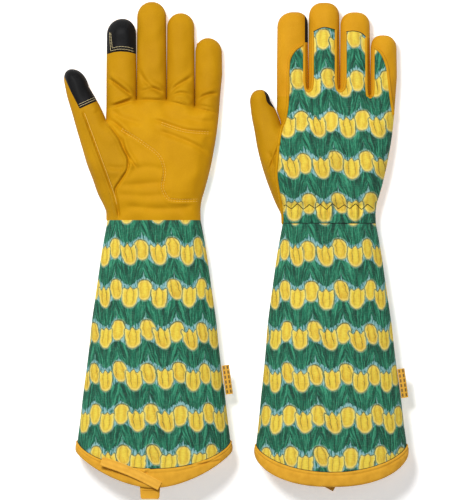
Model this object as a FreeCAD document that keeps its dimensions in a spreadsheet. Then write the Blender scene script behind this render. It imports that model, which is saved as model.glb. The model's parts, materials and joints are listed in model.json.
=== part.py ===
import FreeCAD, Part
import os

import Sketcher
from FreeCAD import Vector

# A pair of long-cuff gardening gloves: leather hands, printed cotton backs and cuffs.
#
# Both gloves lie on the ground with the fingers towards +Y. The left glove lies palm up and the
# right glove lies back up, so both thumbs point to -X. Units are millimetres, +Z is up.
#
# Each glove is drawn in its own frame, whose origin is the middle of the wrist seam on the ground,
# and is then placed by the cells left_x, left_y and so on. Every tube (hand, cuff, finger, thumb)
# has stadium cross-sections: two flat faces joined by half circles.


OUT = "parts"
doc = FreeCAD.newDocument("gardening_gloves")
sheet = doc.addObject("Spreadsheet::Sheet", "dims")

# name, value in millimetres or degrees, meaning
DIMENSIONS = [
    ("leather", 1.2, "wall of the leather panels"),
    ("cloth", 1.0, "wall of the printed cotton panels"),
    ("band", 2.0, "wall of the folded hem binding"),
    ("gap", 0.3, "gap between pieces that move apart"),
    ("bend", 6, "from a finger's or the wrist's crease to the panels on each side of it"),
    ("left_x", -66.3, "wrist seam of the left glove"),
    ("left_y", 25.2, ""),
    ("left_z", 0, ""),
    ("left_reach", 181, "wrist seam to the tip of the middle finger"),
    ("left_crotch", 101, "wrist seam to the slit between two fingers"),
    ("left_shift", 1.5, "sideways lean of the four fingers"),
    ("right_x", 79.9, "wrist seam of the right glove"),
    ("right_y", 22.3, ""),
    ("right_z", 1.7, "the strap lies under this glove"),
    ("right_reach", 184.5, ""),
    ("right_crotch", 113, ""),
    ("right_shift", -1.5, ""),
    ("finger_t", 18, "thickness of a finger"),
    ("finger_z", 10, "height of a finger's middle"),
    ("finger_band", 11, "height of the side strip of a finger"),
    ("tip_round", 7.5, "rounding of a finger tip"),
    ("index_x", -29.5, "middle of the finger, from the wrist's middle"),
    ("index_w", 25.4, ""),
    ("index_drop", 10, "how much shorter than the middle finger"),
    ("index_cap", 28, "length of the touch pad"),
    ("middle_x", -4.2, ""),
    ("middle_w", 23.6, ""),
    ("middle_drop", 0, ""),
    ("middle_cap", 21, "length of the tip cap"),
    ("ring_x", 20.3, ""),
    ("ring_w", 22.6, ""),
    ("ring_drop", 8, ""),
    ("ring_cap", 16, ""),
    ("little_x", 44.2, ""),
    ("little_w", 21.4, ""),
    ("little_drop", 28, ""),
    ("thumb_x", -46.5, "thumb crease"),
    ("thumb_y", 65.5, ""),
    ("thumb_z", 12, "height of the thumb's middle"),
    ("thumb_turn", 22, "degrees from the fingers' direction"),
    ("thumb_w", 24, "width"),
    ("thumb_t", 19, "thickness"),
    ("thumb_long", 62, "crease to tip"),
    ("thumb_bend", 3.5, "from the thumb's crease to the panels on each side of it"),
    ("thumb_cap", 30, "length of the touch pad"),
    ("gusset_w", 34, "thumb gusset where it enters the hand"),
    ("gusset_t", 23, ""),
    ("gusset_deep", 34, "crease to that place"),
    ("heel_y", 12, "hand sections, from the wrist to the fingers"),
    ("heel_x", -0.75, ""),
    ("heel_w", 80.5, ""),
    ("heel_t", 26, ""),
    ("palm_y", 45, ""),
    ("palm_x", 2.5, ""),
    ("palm_w", 89, ""),
    ("palm_t", 28, ""),
    ("web_y", 76, ""),
    ("web_x", 10.25, ""),
    ("web_w", 83.5, ""),
    ("web_t", 26, ""),
    ("knuckle_x", 6.35, ""),
    ("knuckle_w", 97.1, ""),
    ("knuckle_t", 20, ""),
    ("back_edge", 6, "how far the back panel reaches down the hand's sides"),
    ("wrist_w", 78, "cuff sections, from the wrist to the hem"),
    ("wrist_t", 26, ""),
    ("forearm_y", 50, ""),
    ("forearm_w", 93.5, ""),
    ("forearm_t", 32, ""),
    ("flare_y", 110, ""),
    ("flare_w", 108.5, ""),
    ("flare_t", 39, ""),
    ("hem_y", 184, "side seams' length, wrist to binding"),
    ("hem_w", 128, ""),
    ("hem_t", 46, ""),
    ("skirt_y", 226, "section beyond the hem, before it is trimmed"),
    ("skirt_w", 133, ""),
    ("skirt_t", 48, ""),
    ("hem_drop", 24, "how much longer the cuff is in the middle than at its seams"),
    ("binding_w", 12, "width of the binding in the middle"),
    ("binding_side", 8, "width of the binding at the side seams"),
    ("patch_t", 0.8, "thickness of the palm patch"),
    ("patch_left", -2, "palm patch"),
    ("patch_right", 42, ""),
    ("patch_low", 16, ""),
    ("patch_high", 74, ""),
    ("patch_r", 9, "corner of the patch"),
    ("tag_w", 8, "tag in the little-finger side seam"),
    ("tag_long", 24, ""),
    ("tag_t", 1.2, ""),
    ("tag_x", 59.5, "middle of the tag's lower end, part of which is sewn into the seam"),
    ("tag_y", -119, "tag's upper end"),
    ("tag_turn", 8, "degrees, along the flaring seam"),
    ("tag_z", 20.5, ""),
    ("strap_w", 8, "cuff strap"),
    ("strap_t", 1.4, ""),
    ("strap_long", 54, ""),
    ("strap_x", -44, "middle of its sewn end"),
    ("strap_y", -199, ""),
    ("strap_turn", -24, "degrees from +X"),
    ("keeper_w", 18, "tab that the strap closes on"),
    ("keeper_long", 17.5, ""),
    ("keeper_t", 1.6, ""),
    ("keeper_x", -3, "middle of the tab"),
    ("left_keeper_y", -231.5, "tab's lower edge: it hangs out of the left hem"),
    ("right_keeper_y", -217.5, "the right one is turned inside the hem"),
]
for row, (name, value, meaning) in enumerate(DIMENSIONS, start=1):
    sheet.set(f"A{row}", name)
    sheet.set(f"B{row}", str(value))
    sheet.setAlias(f"B{row}", name)
    sheet.set(f"C{row}", meaning)
doc.recompute()

FAR = 400  # reach of a cutting block, longer than the gloves
FINGERS = ["index", "middle", "ring", "little"]
parts = {}


def d(expression):
    """Writes an expression of cell names as one that reads the sheet: 'a + b' to 'dims.a + dims.b'."""
    words = expression.replace("(", "( ").replace(")", " )").split()
    names = {name for name, _, _ in DIMENSIONS}
    return " ".join("dims." + word if word in names else word for word in words)


def bind(obj, **expressions):
    """Binds properties, written with __ for a dot, to expressions of cell names."""
    for path, expression in expressions.items():
        obj.setExpression(path.replace("__", "."), d(expression))


def plane(body, role):
    return next(f for f in body.Origin.OriginFeatures if f.Role == role)


def new_sketch(body, name, role):
    sketch = body.newObject("Sketcher::SketchObject", name)
    sketch.AttachmentSupport = [(plane(body, role), "")]
    sketch.MapMode = "FlatFace"
    return sketch


def fix(sketch, name, expression, *constraint):
    """Adds a named constraint whose value follows the sheet."""
    number = sketch.addConstraint(Sketcher.Constraint(*constraint))
    sketch.renameConstraint(number, name)
    sketch.setExpression("Constraints." + name, d(expression))


def stadium(sketch, name, x, z, width, thick):
    """Adds a closed stadium: its middle, its overall width and its thickness are expressions."""
    half, radius = 10, 5
    first = sketch.GeometryCount
    top, right, bottom, left = range(first, first + 4)
    circle_right = Part.Circle(Vector(half, 0, 0), Vector(0, 0, 1), radius)
    circle_left = Part.Circle(Vector(-half, 0, 0), Vector(0, 0, 1), radius)
    quarter = FreeCAD.Units.parseQuantity("90 deg").getValueAs("rad").Value
    sketch.addGeometry([
        Part.LineSegment(Vector(-half, radius, 0), Vector(half, radius, 0)),
        Part.ArcOfCircle(circle_right, -quarter, quarter),
        Part.LineSegment(Vector(half, -radius, 0), Vector(-half, -radius, 0)),
        Part.ArcOfCircle(circle_left, quarter, 3 * quarter),
    ])
    sketch.addConstraint([
        Sketcher.Constraint("Tangent", top, 2, right, 2),
        Sketcher.Constraint("Tangent", right, 1, bottom, 1),
        Sketcher.Constraint("Tangent", bottom, 2, left, 2),
        Sketcher.Constraint("Tangent", left, 1, top, 1),
        Sketcher.Constraint("Horizontal", top),
        Sketcher.Constraint("Equal", left, right),
    ])
    fix(sketch, name + "_radius", f"({thick}) / 2", "Radius", right, radius)
    fix(sketch, name + "_straight", f"({width}) - ({thick})", "DistanceX", left, 3, right, 3, 2 * half)
    fix(sketch, name + "_z", z, "DistanceY", -1, 1, left, 3, 0)
    fix(sketch, name + "_x", f"({x}) - (({width}) - ({thick})) / 2", "DistanceX", -1, 1, left, 3, -half)


def cross_section(body, name, y):
    """A sketch across the glove at the height y towards the fingers."""
    sketch = new_sketch(body, name, "XZ_Plane")
    bind(sketch, AttachmentOffset__Base__z=f"-1 * ({y})")
    return sketch


def lofted(label, stations, grow="0"):
    """A solid through stadium sections, each (y, x, z, width, thickness), grown by a skin."""
    body = doc.addObject("PartDesign::Body", label)
    sections = []
    for number, (y, x, z, width, thick) in enumerate(stations):
        sketch = cross_section(body, f"{label}_section_{number}", y)
        stadium(sketch, "skin", x, z, f"{width} + 2 * ({grow})", f"{thick} + 2 * ({grow})")
        sections.append(sketch)
    loft = body.newObject("PartDesign::AdditiveLoft", label + "_loft")
    loft.Profile = sections[0]
    loft.Sections = sections[1:]
    loft.Ruled = True
    body.Tip = loft
    return body


def ring(label, y, long, x, z, width, thick, wall):
    """A short open tube with one stadium inside another."""
    body = doc.addObject("PartDesign::Body", label)
    sketch = cross_section(body, label + "_section", y)
    stadium(sketch, "outer", x, z, width, thick)
    stadium(sketch, "inner", x, z, f"({width}) - 2 * {wall}", f"({thick}) - 2 * {wall}")
    pad = body.newObject("PartDesign::Pad", label + "_pad")
    pad.Profile = sketch
    pad.Reversed = True
    bind(pad, Length=long)
    body.Tip = pad
    return body


def polygon(sketch, corners):
    """Adds a closed polygon whose corners are pairs of expressions."""
    count = len(corners)
    turn = FreeCAD.Rotation(Vector(0, 0, 1), 360 / count)
    spots = [Vector(100, 0, 0)]
    while len(spots) < count:
        spots.append(turn.multVec(spots[-1]))
    sketch.addGeometry([Part.LineSegment(spots[i], spots[(i + 1) % count]) for i in range(count)])
    for i in range(count):
        sketch.addConstraint(Sketcher.Constraint("Coincident", i, 2, (i + 1) % count, 1))
    for i, (x, y) in enumerate(corners):
        fix(sketch, f"corner_{i}_x", x, "DistanceX", -1, 1, i, 1, spots[i].x)
        fix(sketch, f"corner_{i}_y", y, "DistanceY", -1, 1, i, 1, spots[i].y)


def side_block(label, corners):
    """A cutting block: a polygon seen from the side, as pairs (y, z), as wide as it needs to be."""
    body = doc.addObject("PartDesign::Body", label)
    sketch = new_sketch(body, label + "_outline", "YZ_Plane")
    polygon(sketch, corners)
    pad = body.newObject("PartDesign::Pad", label + "_pad")
    pad.Profile = sketch
    pad.SideType = "Symmetric"
    pad.Length = FAR
    body.Tip = pad
    return body


def hem_block(label, side, middle):
    """A cutting block seen from above: everything on the finger side of the curved hem line."""
    body = doc.addObject("PartDesign::Body", label)
    sketch = new_sketch(body, label + "_outline", "XY_Plane")
    through = [Vector(-70, -180, 0), Vector(0, -200, 0), Vector(70, -180, 0)]
    high = 40
    sketch.addGeometry([
        Part.Arc(*through),
        Part.LineSegment(through[2], Vector(70, high, 0)),
        Part.LineSegment(Vector(70, high, 0), Vector(-70, high, 0)),
        Part.LineSegment(Vector(-70, high, 0), through[0]),
        Part.Point(through[1]),
    ])
    arc, right, top, left, low = range(5)
    arc_right = 2 if sketch.Geometry[0].EndPoint.x > 0 else 1
    sketch.addConstraint([
        Sketcher.Constraint("Coincident", arc, arc_right, right, 1),
        Sketcher.Constraint("Coincident", right, 2, top, 1),
        Sketcher.Constraint("Coincident", top, 2, left, 1),
        Sketcher.Constraint("Coincident", left, 2, arc, 3 - arc_right),
        Sketcher.Constraint("PointOnObject", low, 1, arc),
        Sketcher.Constraint("PointOnObject", low, 1, -2),
        Sketcher.Constraint("PointOnObject", arc, 3, -2),
        Sketcher.Constraint("Horizontal", top),
        Sketcher.Constraint("Vertical", right),
        Sketcher.Constraint("Vertical", left),
    ])
    fix(sketch, "half_width", "hem_w / 2", "DistanceX", -1, 1, arc, arc_right, 70)
    fix(sketch, "seam_end", side, "DistanceY", -1, 1, arc, arc_right, -180)
    fix(sketch, "middle_end", middle, "DistanceY", -1, 1, low, 1, -200)
    sketch.addConstraint(Sketcher.Constraint("DistanceY", -1, 1, top, 1, high))
    pad = body.newObject("PartDesign::Pad", label + "_pad")
    pad.Profile = sketch
    pad.SideType = "Symmetric"
    pad.Length = FAR
    body.Tip = pad
    return body


def plate(label, width, long, thick, corner=None):
    """A flat piece centred across X that runs from the origin to +Y, with rounded far corners."""
    body = doc.addObject("PartDesign::Body", label)
    sketch = new_sketch(body, label + "_outline", "XY_Plane")
    half = f"({width}) / 2"
    polygon(sketch, [(half, "0"), (half, long), (f"-1 * {half}", long), (f"-1 * {half}", "0")])
    pad = body.newObject("PartDesign::Pad", label + "_pad")
    pad.Profile = sketch
    bind(pad, Length=thick)
    body.Tip = pad
    doc.recompute()
    if corner:
        far = []
        for i, edge in enumerate(pad.Shape.Edges):
            low, high = edge.Vertexes[0], edge.Vertexes[-1]
            if abs(low.X - high.X) < 1e-6 and abs(low.Y - high.Y) < 1e-6 and low.Y > 1e-6:
                far.append(f"Edge{i + 1}")
        fillet = body.newObject("PartDesign::Fillet", label + "_corners")
        fillet.Base = (pad, far)
        bind(fillet, Radius=corner)
        body.Tip = fillet
    return body


def join(kind, label, base, tool):
    """Part::Common or Part::Cut of two objects."""
    made = doc.addObject("Part::" + kind, label)
    made.Base = base
    made.Tool = tool
    return made


def block(label, y=f"0 - {FAR} / 2", z=f"0 - {FAR} / 2", **expressions):
    """A cutting box centred across X, as large as it needs to be in each direction not stated."""
    box = doc.addObject("Part::Box", label)
    box.Length = box.Width = box.Height = FAR
    bind(box, Placement__Base__x=f"0 - {FAR} / 2", Placement__Base__y=y, Placement__Base__z=z,
         **expressions)
    return box


def keep(glove, name, obj, x="0", y="0", z="0", turn=None):
    """Makes obj a sub-part of that glove, placed in the row frame."""
    obj.Label = f"{glove}_{name}"
    bind(
        obj,
        Placement__Base__x=f"{glove}_x + {x}",
        Placement__Base__y=f"{glove}_y + {y}",
        Placement__Base__z=f"{glove}_z + {z}",
    )
    if turn:
        bind(obj, Placement__Rotation__Angle=turn)
    parts[obj.Label] = obj


def closed_tube(label, start, end, x, z, width, thick):
    """A hollow finger from the height start to end, open at its root and rounded at its tip."""
    body = doc.addObject("PartDesign::Body", label)
    sketch = cross_section(body, label + "_section", start)
    stadium(sketch, "skin", x, z, width, thick)
    pad = body.newObject("PartDesign::Pad", label + "_pad")
    pad.Profile = sketch
    pad.Reversed = True
    bind(pad, Length=f"({end}) - ({start})")
    doc.recompute()
    faces = pad.Shape.Faces
    far = max(range(len(faces)), key=lambda i: faces[i].CenterOfMass.y)
    fillet = body.newObject("PartDesign::Fillet", label + "_tip")
    fillet.Base = (pad, [f"Face{far + 1}"])
    bind(fillet, Radius="tip_round")
    doc.recompute()
    faces = fillet.Shape.Faces
    mouth = min(range(len(faces)), key=lambda i: faces[i].CenterOfMass.y)
    wall = body.newObject("PartDesign::Thickness", label + "_wall")
    wall.Base = (fillet, [f"Face{mouth + 1}"])
    wall.Reversed = True
    bind(wall, Value="leather")
    body.Tip = wall
    return body


# --- cutting blocks shared by both gloves, in a glove's own frame -------------------------------

above = block("above_side_strip", z="finger_z + finger_band / 2")
below = block("below_side_strip", z=f"finger_z - finger_band / 2 - {FAR}")
beside = block("side_strip", z="finger_z - finger_band / 2", Height="finger_band")
thumb_above = block("thumb_upper_half", z="0")
thumb_below = block("thumb_lower_half", z=f"0 - {FAR}")
LIMIT = "200"
cuff_above = side_block("cuff_upper_half", [
    ("50", "wrist_t / 2"), ("0", "wrist_t / 2"), ("-1 * skirt_y", "skirt_t / 2"),
    ("-1 * 300", "skirt_t / 2"), ("-1 * 300", LIMIT), ("50", LIMIT),
])
hem_line = hem_block("hem_line", "-1 * hem_y", "-1 * (hem_y + hem_drop)")
edge_line = hem_block("edge_line", "-1 * (hem_y + binding_side)", "-1 * (hem_y + hem_drop + binding_w)")


# --- the parts of one glove ---------------------------------------------------------------------

def make_finger(glove, name, palm_block, back_block):
    """Front, back and side strip of one finger, with its touch pad or tip cap."""
    label = f"{glove}_{name}"
    middle = f"{name}_x + {glove}_shift"
    root_y = f"{glove}_crotch + 2 * bend"
    tip_y = f"{glove}_reach - {name}_drop"
    size = (middle, "finger_z", f"{name}_w", "finger_t")
    tube = closed_tube(label + "_tube", root_y, tip_y, *size)
    front = join("Common", label + "_palm_side", tube, palm_block)
    back = join("Common", label + "_back_side", tube, back_block)
    keep(glove, name + "_fourchette", join("Common", label + "_sides", tube, beside))
    if name == "little":
        keep(glove, "little_front", front)
        keep(glove, "little_back", back)
        return
    tip = block(label + "_tip_block", y=f"{tip_y} - {name}_cap")
    capped, plain = (front, back) if name == "index" else (back, front)
    side, other = ("front", "back") if name == "index" else ("back", "front")
    cap = "touch_pad" if name == "index" else "tip_cap"
    keep(glove, f"{name}_{other}", plain)
    keep(glove, f"{name}_{side}", join("Cut", f"{label}_long_{side}", capped, tip))
    keep(glove, f"{name}_{cap}", join("Common", f"{label}_{cap}_solid", capped, tip))


def make_creases(glove, core):
    """The soft bands that bend between the hand and the panels of each finger and of the thumb."""
    rings = [
        ring(
            f"{glove}_{name}_crease", f"{glove}_crotch + gap", "2 * bend - 2 * gap",
            f"{name}_x + {glove}_shift", "finger_z", f"{name}_w", "finger_t", "leather",
        )
        for name in FINGERS
    ]
    thumb = ring(glove + "_thumb_crease_tube", "gap - thumb_bend", "2 * thumb_bend - 2 * gap",
                 "0", "0", "thumb_w", "thumb_t", "leather")
    place_at_thumb(thumb)
    creases = doc.addObject("Part::Compound", glove + "_creases")
    creases.Links = rings + [join("Cut", glove + "_thumb_crease", thumb, core)]
    keep(glove, "finger_creases", creases)


def place_at_thumb(obj):
    """Puts a solid drawn in the thumb's own frame, whose origin is its crease, on the hand."""
    bind(obj, Placement__Base__x="thumb_x", Placement__Base__y="thumb_y",
         Placement__Base__z="thumb_z", Placement__Rotation__Angle="thumb_turn")


def make_thumb(glove, palm_half, back_half):
    """The two walls of the thumb and its touch pad, drawn in the thumb's own frame."""
    label = glove + "_thumb"
    size = ("0", "0", "thumb_w", "thumb_t")
    tube = closed_tube(label + "_tube", "thumb_bend", "thumb_long", *size)
    front = join("Common", label + "_palm_side", tube, palm_half)
    tip_block = block(label + "_tip_block", y="thumb_long - thumb_cap")
    place = {"x": "thumb_x", "y": "thumb_y", "z": "thumb_z", "turn": "thumb_turn"}
    keep(glove, "thumb_back", join("Common", label + "_back_side", tube, back_half), **place)
    keep(glove, "thumb_front", join("Cut", label + "_long_front", front, tip_block), **place)
    keep(glove, "thumb_touch_pad", join("Common", label + "_pad_solid", front, tip_block), **place)


def hand_stations(glove):
    return [
        ("heel_y", "heel_x", "heel_t / 2", "heel_w", "heel_t"),
        ("palm_y", "palm_x", "palm_t / 2", "palm_w", "palm_t"),
        ("web_y", "web_x", "web_t / 2", "web_w", "web_t"),
        (f"{glove}_crotch", f"knuckle_x + {glove}_shift / 2", "knuckle_t / 2",
         "knuckle_w", "knuckle_t"),
    ]


def make_hand(glove, palm_up):
    """Palm panel with the hand's sides, back panel, palm patch, thumb gusset."""
    stations = hand_stations(glove)
    core = lofted(glove + "_hand_core", stations)
    hollow = lofted(glove + "_hand_hollow", stations, "0 - leather")
    skin = lofted(glove + "_hand_skin", stations, "patch_t")
    shell = join("Cut", glove + "_hand_shell", core, hollow)

    # The back panel is the face away from the palm, down to back_edge from its own surface.
    ends = [("heel_y - 5", "heel_t"), ("palm_y", "palm_t"), ("web_y", "web_t"),
            (f"{glove}_crotch", "knuckle_t"), (f"{glove}_crotch + 20", "knuckle_t")]
    if palm_up:
        line = [(y, "back_edge") for y, _ in ends]
        outer = "-1 * 100"
    else:
        line = [(y, f"{thick} - back_edge") for y, thick in ends]
        outer = "100"
    back_side = side_block(glove + "_back_side", line + [(ends[-1][0], outer), (ends[0][0], outer)])
    keep(glove, "back_panel", join("Common", glove + "_hand_back", shell, back_side))
    front = join("Cut", glove + "_hand_front", shell, back_side)

    # The gusset runs from inside the hand to the thumb crease; it is cut off at the hand's skin.
    reach = [
        ("-1 * gusset_deep", "0", "0", "gusset_w", "gusset_t"),
        ("-1 * thumb_bend", "0", "0", "thumb_w", "thumb_t"),
    ]
    outer_tube = lofted(glove + "_gusset_outer", reach)
    inner_tube = lofted(glove + "_gusset_inner", reach, "0 - leather")
    place_at_thumb(outer_tube)
    place_at_thumb(inner_tube)
    gusset = join("Cut", glove + "_gusset_tube", outer_tube, inner_tube)
    keep(glove, "thumb_gusset", join("Cut", glove + "_gusset", gusset, core))
    keep(glove, "palm_panel", join("Cut", glove + "_palm", front, inner_tube))

    patch = plate(glove + "_patch_outline", "patch_right - patch_left", "patch_high - patch_low",
                  "100", "patch_r")
    bind(patch, Placement__Base__x="(patch_left + patch_right) / 2", Placement__Base__y="patch_low",
         Placement__Base__z="palm_t / 2" if palm_up else "palm_t / 2 - 100")
    film = join("Cut", glove + "_palm_film", skin, core)
    keep(glove, "palm_patch", join("Common", glove + "_patch", film, patch))
    make_creases(glove, core)


def make_wrist(glove):
    """The elastic that gathers the wrist, between the hand and the cuff."""
    keep(glove, "wrist_elastic", ring(
        glove + "_elastic", "gap", "2 * bend - 2 * gap",
        "0", "wrist_t / 2", "wrist_w", "wrist_t", "leather",
    ))


def make_cuff(glove, palm_up):
    """Two printed cuff panels, the hem binding and the side tag."""
    stations = [
        ("0", "0", "wrist_t / 2", "wrist_w", "wrist_t"),
        ("-1 * forearm_y", "0", "forearm_t / 2", "forearm_w", "forearm_t"),
        ("-1 * flare_y", "0", "flare_t / 2", "flare_w", "flare_t"),
        ("-1 * hem_y", "0", "hem_t / 2", "hem_w", "hem_t"),
        ("-1 * skirt_y", "0", "skirt_t / 2", "skirt_w", "skirt_t"),
    ]
    core = lofted(glove + "_cuff_core", stations)
    hollow = lofted(glove + "_cuff_hollow", stations, "0 - cloth")
    deep = lofted(glove + "_cuff_deep_hollow", stations, "0 - band")
    shell = join("Cut", glove + "_cuff_shell", core, hollow)
    sleeve = join("Common", glove + "_cuff_sleeve", shell, hem_line)
    upper = join("Common", glove + "_cuff_upper", sleeve, cuff_above)
    lower = join("Cut", glove + "_cuff_lower", sleeve, cuff_above)
    keep(glove, "cuff_palm_panel", upper if palm_up else lower)
    keep(glove, "cuff_back_panel", lower if palm_up else upper)
    thick = join("Cut", glove + "_hem_shell", core, deep)
    strip = join("Common", glove + "_hem_strip", thick, edge_line)
    keep(glove, "hem_binding", join("Cut", glove + "_hem", strip, hem_line))

    tag = plate(glove + "_tag_outline", "tag_w + 3", "tag_long", "tag_t")
    bind(tag, Placement__Base__x="tag_x", Placement__Base__y="tag_y - tag_long",
         Placement__Base__z="tag_z", Placement__Rotation__Angle="tag_turn")
    keep(glove, "side_tag", join("Cut", glove + "_tag", tag, core))


def make_strap(glove, palm_up):
    """The strap on the palm side of the hem, and the tab that it closes on."""
    strap = plate(glove + "_strap", "strap_w", "strap_long", "strap_t")
    height = "skirt_t + gap" if palm_up else f"0 - {glove}_z"
    keep(glove, "cuff_strap", strap, "strap_x", "strap_y", height, "strap_turn - 90")
    keeper = plate(glove + "_keeper", "keeper_w", "keeper_long", "keeper_t")
    lift = "hem_t - band - keeper_t + 1" if palm_up else "band"
    keep(glove, "strap_keeper", keeper, "keeper_x", f"{glove}_keeper_y", lift)


for glove, palm_up in (("left", True), ("right", False)):
    palm_block, back_block = (above, below) if palm_up else (below, above)
    for name in FINGERS:
        make_finger(glove, name, palm_block, back_block)
    halves = (thumb_above, thumb_below) if palm_up else (thumb_below, thumb_above)
    make_thumb(glove, *halves)
    make_hand(glove, palm_up)
    make_wrist(glove)
    make_cuff(glove, palm_up)
    make_strap(glove, palm_up)

doc.recompute()
for obj in doc.Objects:
    if "Invalid" in obj.State or "Error" in obj.State:
        raise SystemExit(f"{obj.Name} did not build: {obj.State}")

os.makedirs(OUT, exist_ok=True)
box = FreeCAD.BoundBox()
for label, obj in sorted(parts.items()):
    shape = obj.Shape
    if shape.isNull() or not shape.isValid() or not shape.Solids:
        raise SystemExit(f"{label} is not a valid solid")
    shape.exportStep(os.path.join(OUT, label + ".step"))
    box.add(shape.optimalBoundingBox(True, False))
    print(f"{label}: {len(shape.Solids)} solid(s), {shape.Volume / 1000:.2f} cm3")
print(f"{len(parts)} sub-parts; x {box.XMin:.2f} to {box.XMax:.2f}, y {box.YMin:.2f} to {box.YMax:.2f}, "
      f"z {box.ZMin:.2f} to {box.ZMax:.2f}")
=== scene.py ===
"""The looks of a pair of long-cuff gardening gloves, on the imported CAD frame.

Each glove is worked out in its own frame, in millimetres: x to the right and y towards the fingertips from
the middle of the wrist seam, z up from the ground. Both gloves have their thumb at -x. The left one lies
palm up, the right one back up, so each surface is made twice, once facing up and once facing down.
"""
import json
import math
from functools import partialmethod

import bpy
import numpy as np
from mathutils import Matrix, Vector


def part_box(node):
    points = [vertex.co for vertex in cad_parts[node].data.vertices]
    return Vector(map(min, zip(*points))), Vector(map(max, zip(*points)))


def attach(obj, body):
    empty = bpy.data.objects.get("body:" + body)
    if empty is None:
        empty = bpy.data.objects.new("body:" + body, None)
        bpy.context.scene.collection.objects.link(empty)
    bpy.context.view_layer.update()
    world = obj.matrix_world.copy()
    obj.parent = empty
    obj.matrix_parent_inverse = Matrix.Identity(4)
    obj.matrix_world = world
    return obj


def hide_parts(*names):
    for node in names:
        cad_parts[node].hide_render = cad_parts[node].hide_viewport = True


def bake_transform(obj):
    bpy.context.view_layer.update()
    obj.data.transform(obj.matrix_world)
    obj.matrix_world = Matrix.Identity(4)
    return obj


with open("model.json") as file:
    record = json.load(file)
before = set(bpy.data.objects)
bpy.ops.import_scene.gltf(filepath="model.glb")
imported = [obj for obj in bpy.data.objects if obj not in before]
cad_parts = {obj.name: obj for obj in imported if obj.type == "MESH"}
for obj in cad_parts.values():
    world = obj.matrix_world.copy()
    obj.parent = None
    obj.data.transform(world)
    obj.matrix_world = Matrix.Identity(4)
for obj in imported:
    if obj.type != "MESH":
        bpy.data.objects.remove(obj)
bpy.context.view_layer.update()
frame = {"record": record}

MM = 0.001
TURN = 2 * math.pi
FINGERS = ("index", "middle", "ring", "little")
SIDES = ("palm", "back")


# ---------------------------------------------------------------- numbers and curves

def smooth(a, b, x):
    """0 at a and 1 at b, with a soft start and end; a may be the larger one."""
    t = np.clip((np.asarray(x, float) - a) / (b - a), 0, 1)
    return t * t * (3 - 2 * t)


def hump(x, width):
    """A soft bell that is 1 where x is 0."""
    return np.exp(-(x / width) ** 2)


def cubic(x, knots, values, slopes):
    """The curve that has these values and slopes at its knots."""
    i = np.clip(np.searchsorted(knots, x, "right") - 1, 0, len(knots) - 2)
    h = knots[i + 1] - knots[i]
    t = (x - knots[i]) / h
    return (values[i] * (1 + 2 * t) * (1 - t) ** 2 + h * slopes[i] * t * (1 - t) ** 2
            + values[i + 1] * t * t * (3 - 2 * t) + h * slopes[i + 1] * t * t * (t - 1))


def through(knots, values, x):
    """A smooth curve through (knots, values), with flat-limited slopes, so that it never overshoots."""
    k, v = np.asarray(knots, float), np.asarray(values, float)
    h = np.diff(k)
    d = np.diff(v) / h
    slopes = np.r_[d[0], np.zeros(len(k) - 2), d[-1]]
    for i in range(1, len(k) - 1):
        if d[i - 1] * d[i] > 0:
            a, b = 2 * h[i] + h[i - 1], h[i] + 2 * h[i - 1]
            slopes[i] = (a + b) / (a / d[i - 1] + b / d[i])
    return cubic(np.clip(np.asarray(x, float), k[0], k[-1]), k, v, slopes)


def travelled(path):
    """How far along the path each of its points is."""
    return np.r_[0, np.cumsum(np.linalg.norm(np.diff(path, axis=0), axis=1))]


def rounded(points, step=1.5):
    """A smooth path through points, sampled about every step."""
    p = np.asarray(points, float)
    s = travelled(p)
    at = np.linspace(0, s[-1], max(2, int(s[-1] / step) + 1))
    return np.stack([cubic(at, s, column, np.gradient(column, s)) for column in p.T], axis=1)


def points_at(path, far):
    """The points of a path at distances far from its start."""
    return np.stack([np.interp(far, travelled(path), column) for column in path.T], axis=1)


def resample(path, count):
    """The same path with count points, evenly spread."""
    return points_at(path, np.linspace(0, travelled(path)[-1], count))


def unit(vectors):
    """The same directions with length 1."""
    return vectors / (np.linalg.norm(vectors, axis=1)[:, None] + 1e-12)


def shifted(path, distance):
    """A path moved sideways, to the left of its direction."""
    path = rounded(path, 1.0)
    step = unit(np.gradient(path, axis=0))
    return path + distance * np.stack([-step[:, 1], step[:, 0]], 1)


def to_path(x, y, path):
    """Distance to a path, the side it is on (positive to the left of its direction) and how far along."""
    x, y = np.asarray(x, float), np.asarray(y, float)
    best = np.full(x.shape, np.inf)
    side = np.ones(x.shape)
    along = np.zeros(x.shape)
    total = np.sum(np.linalg.norm(np.diff(path, axis=0), axis=1))
    done = 0.0
    for a, b in zip(path[:-1], path[1:]):
        e = b - a
        n = max(np.hypot(*e), 1e-9)
        t = np.clip(((x - a[0]) * e[0] + (y - a[1]) * e[1]) / (n * n), 0, 1)
        dx, dy = x - a[0] - t * e[0], y - a[1] - t * e[1]
        dist = np.hypot(dx, dy)
        near = dist < best
        best = np.where(near, dist, best)
        side = np.where(near, np.sign(e[0] * dy - e[1] * dx + 1e-12), side)
        along = np.where(near, (done + t * n) / total, along)
        done += n
    return best, side, along


def inside(x, y, polygon):
    """Signed distance to a closed outline, positive inside."""
    ring = np.vstack([polygon, polygon[:1]])
    dist = to_path(x, y, ring)[0]
    within = np.zeros(np.shape(x), bool)
    for (ax, ay), (bx, by) in zip(ring[:-1], ring[1:]):
        if ay != by:
            within ^= ((ay > y) != (by > y)) & (x < (bx - ax) * (y - ay) / (by - ay) + ax)
    return np.where(within, dist, -dist)


def ripple(x, y, scale, seed, count=9):
    """Soft waves in all directions, between about -1 and 1, with wavelengths around scale."""
    draw = np.random.default_rng(seed).uniform
    total = np.zeros(np.shape(x))
    for _ in range(count):
        heading = draw(0, math.pi)
        rate = TURN / (scale * draw(0.7, 1.6))
        phase = draw(0, 6.28)
        total = total + np.sin(rate * (x * math.cos(heading) + y * math.sin(heading)) + phase)
    return total / math.sqrt(count) / 1.4


# ---------------------------------------------------------------- materials

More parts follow.
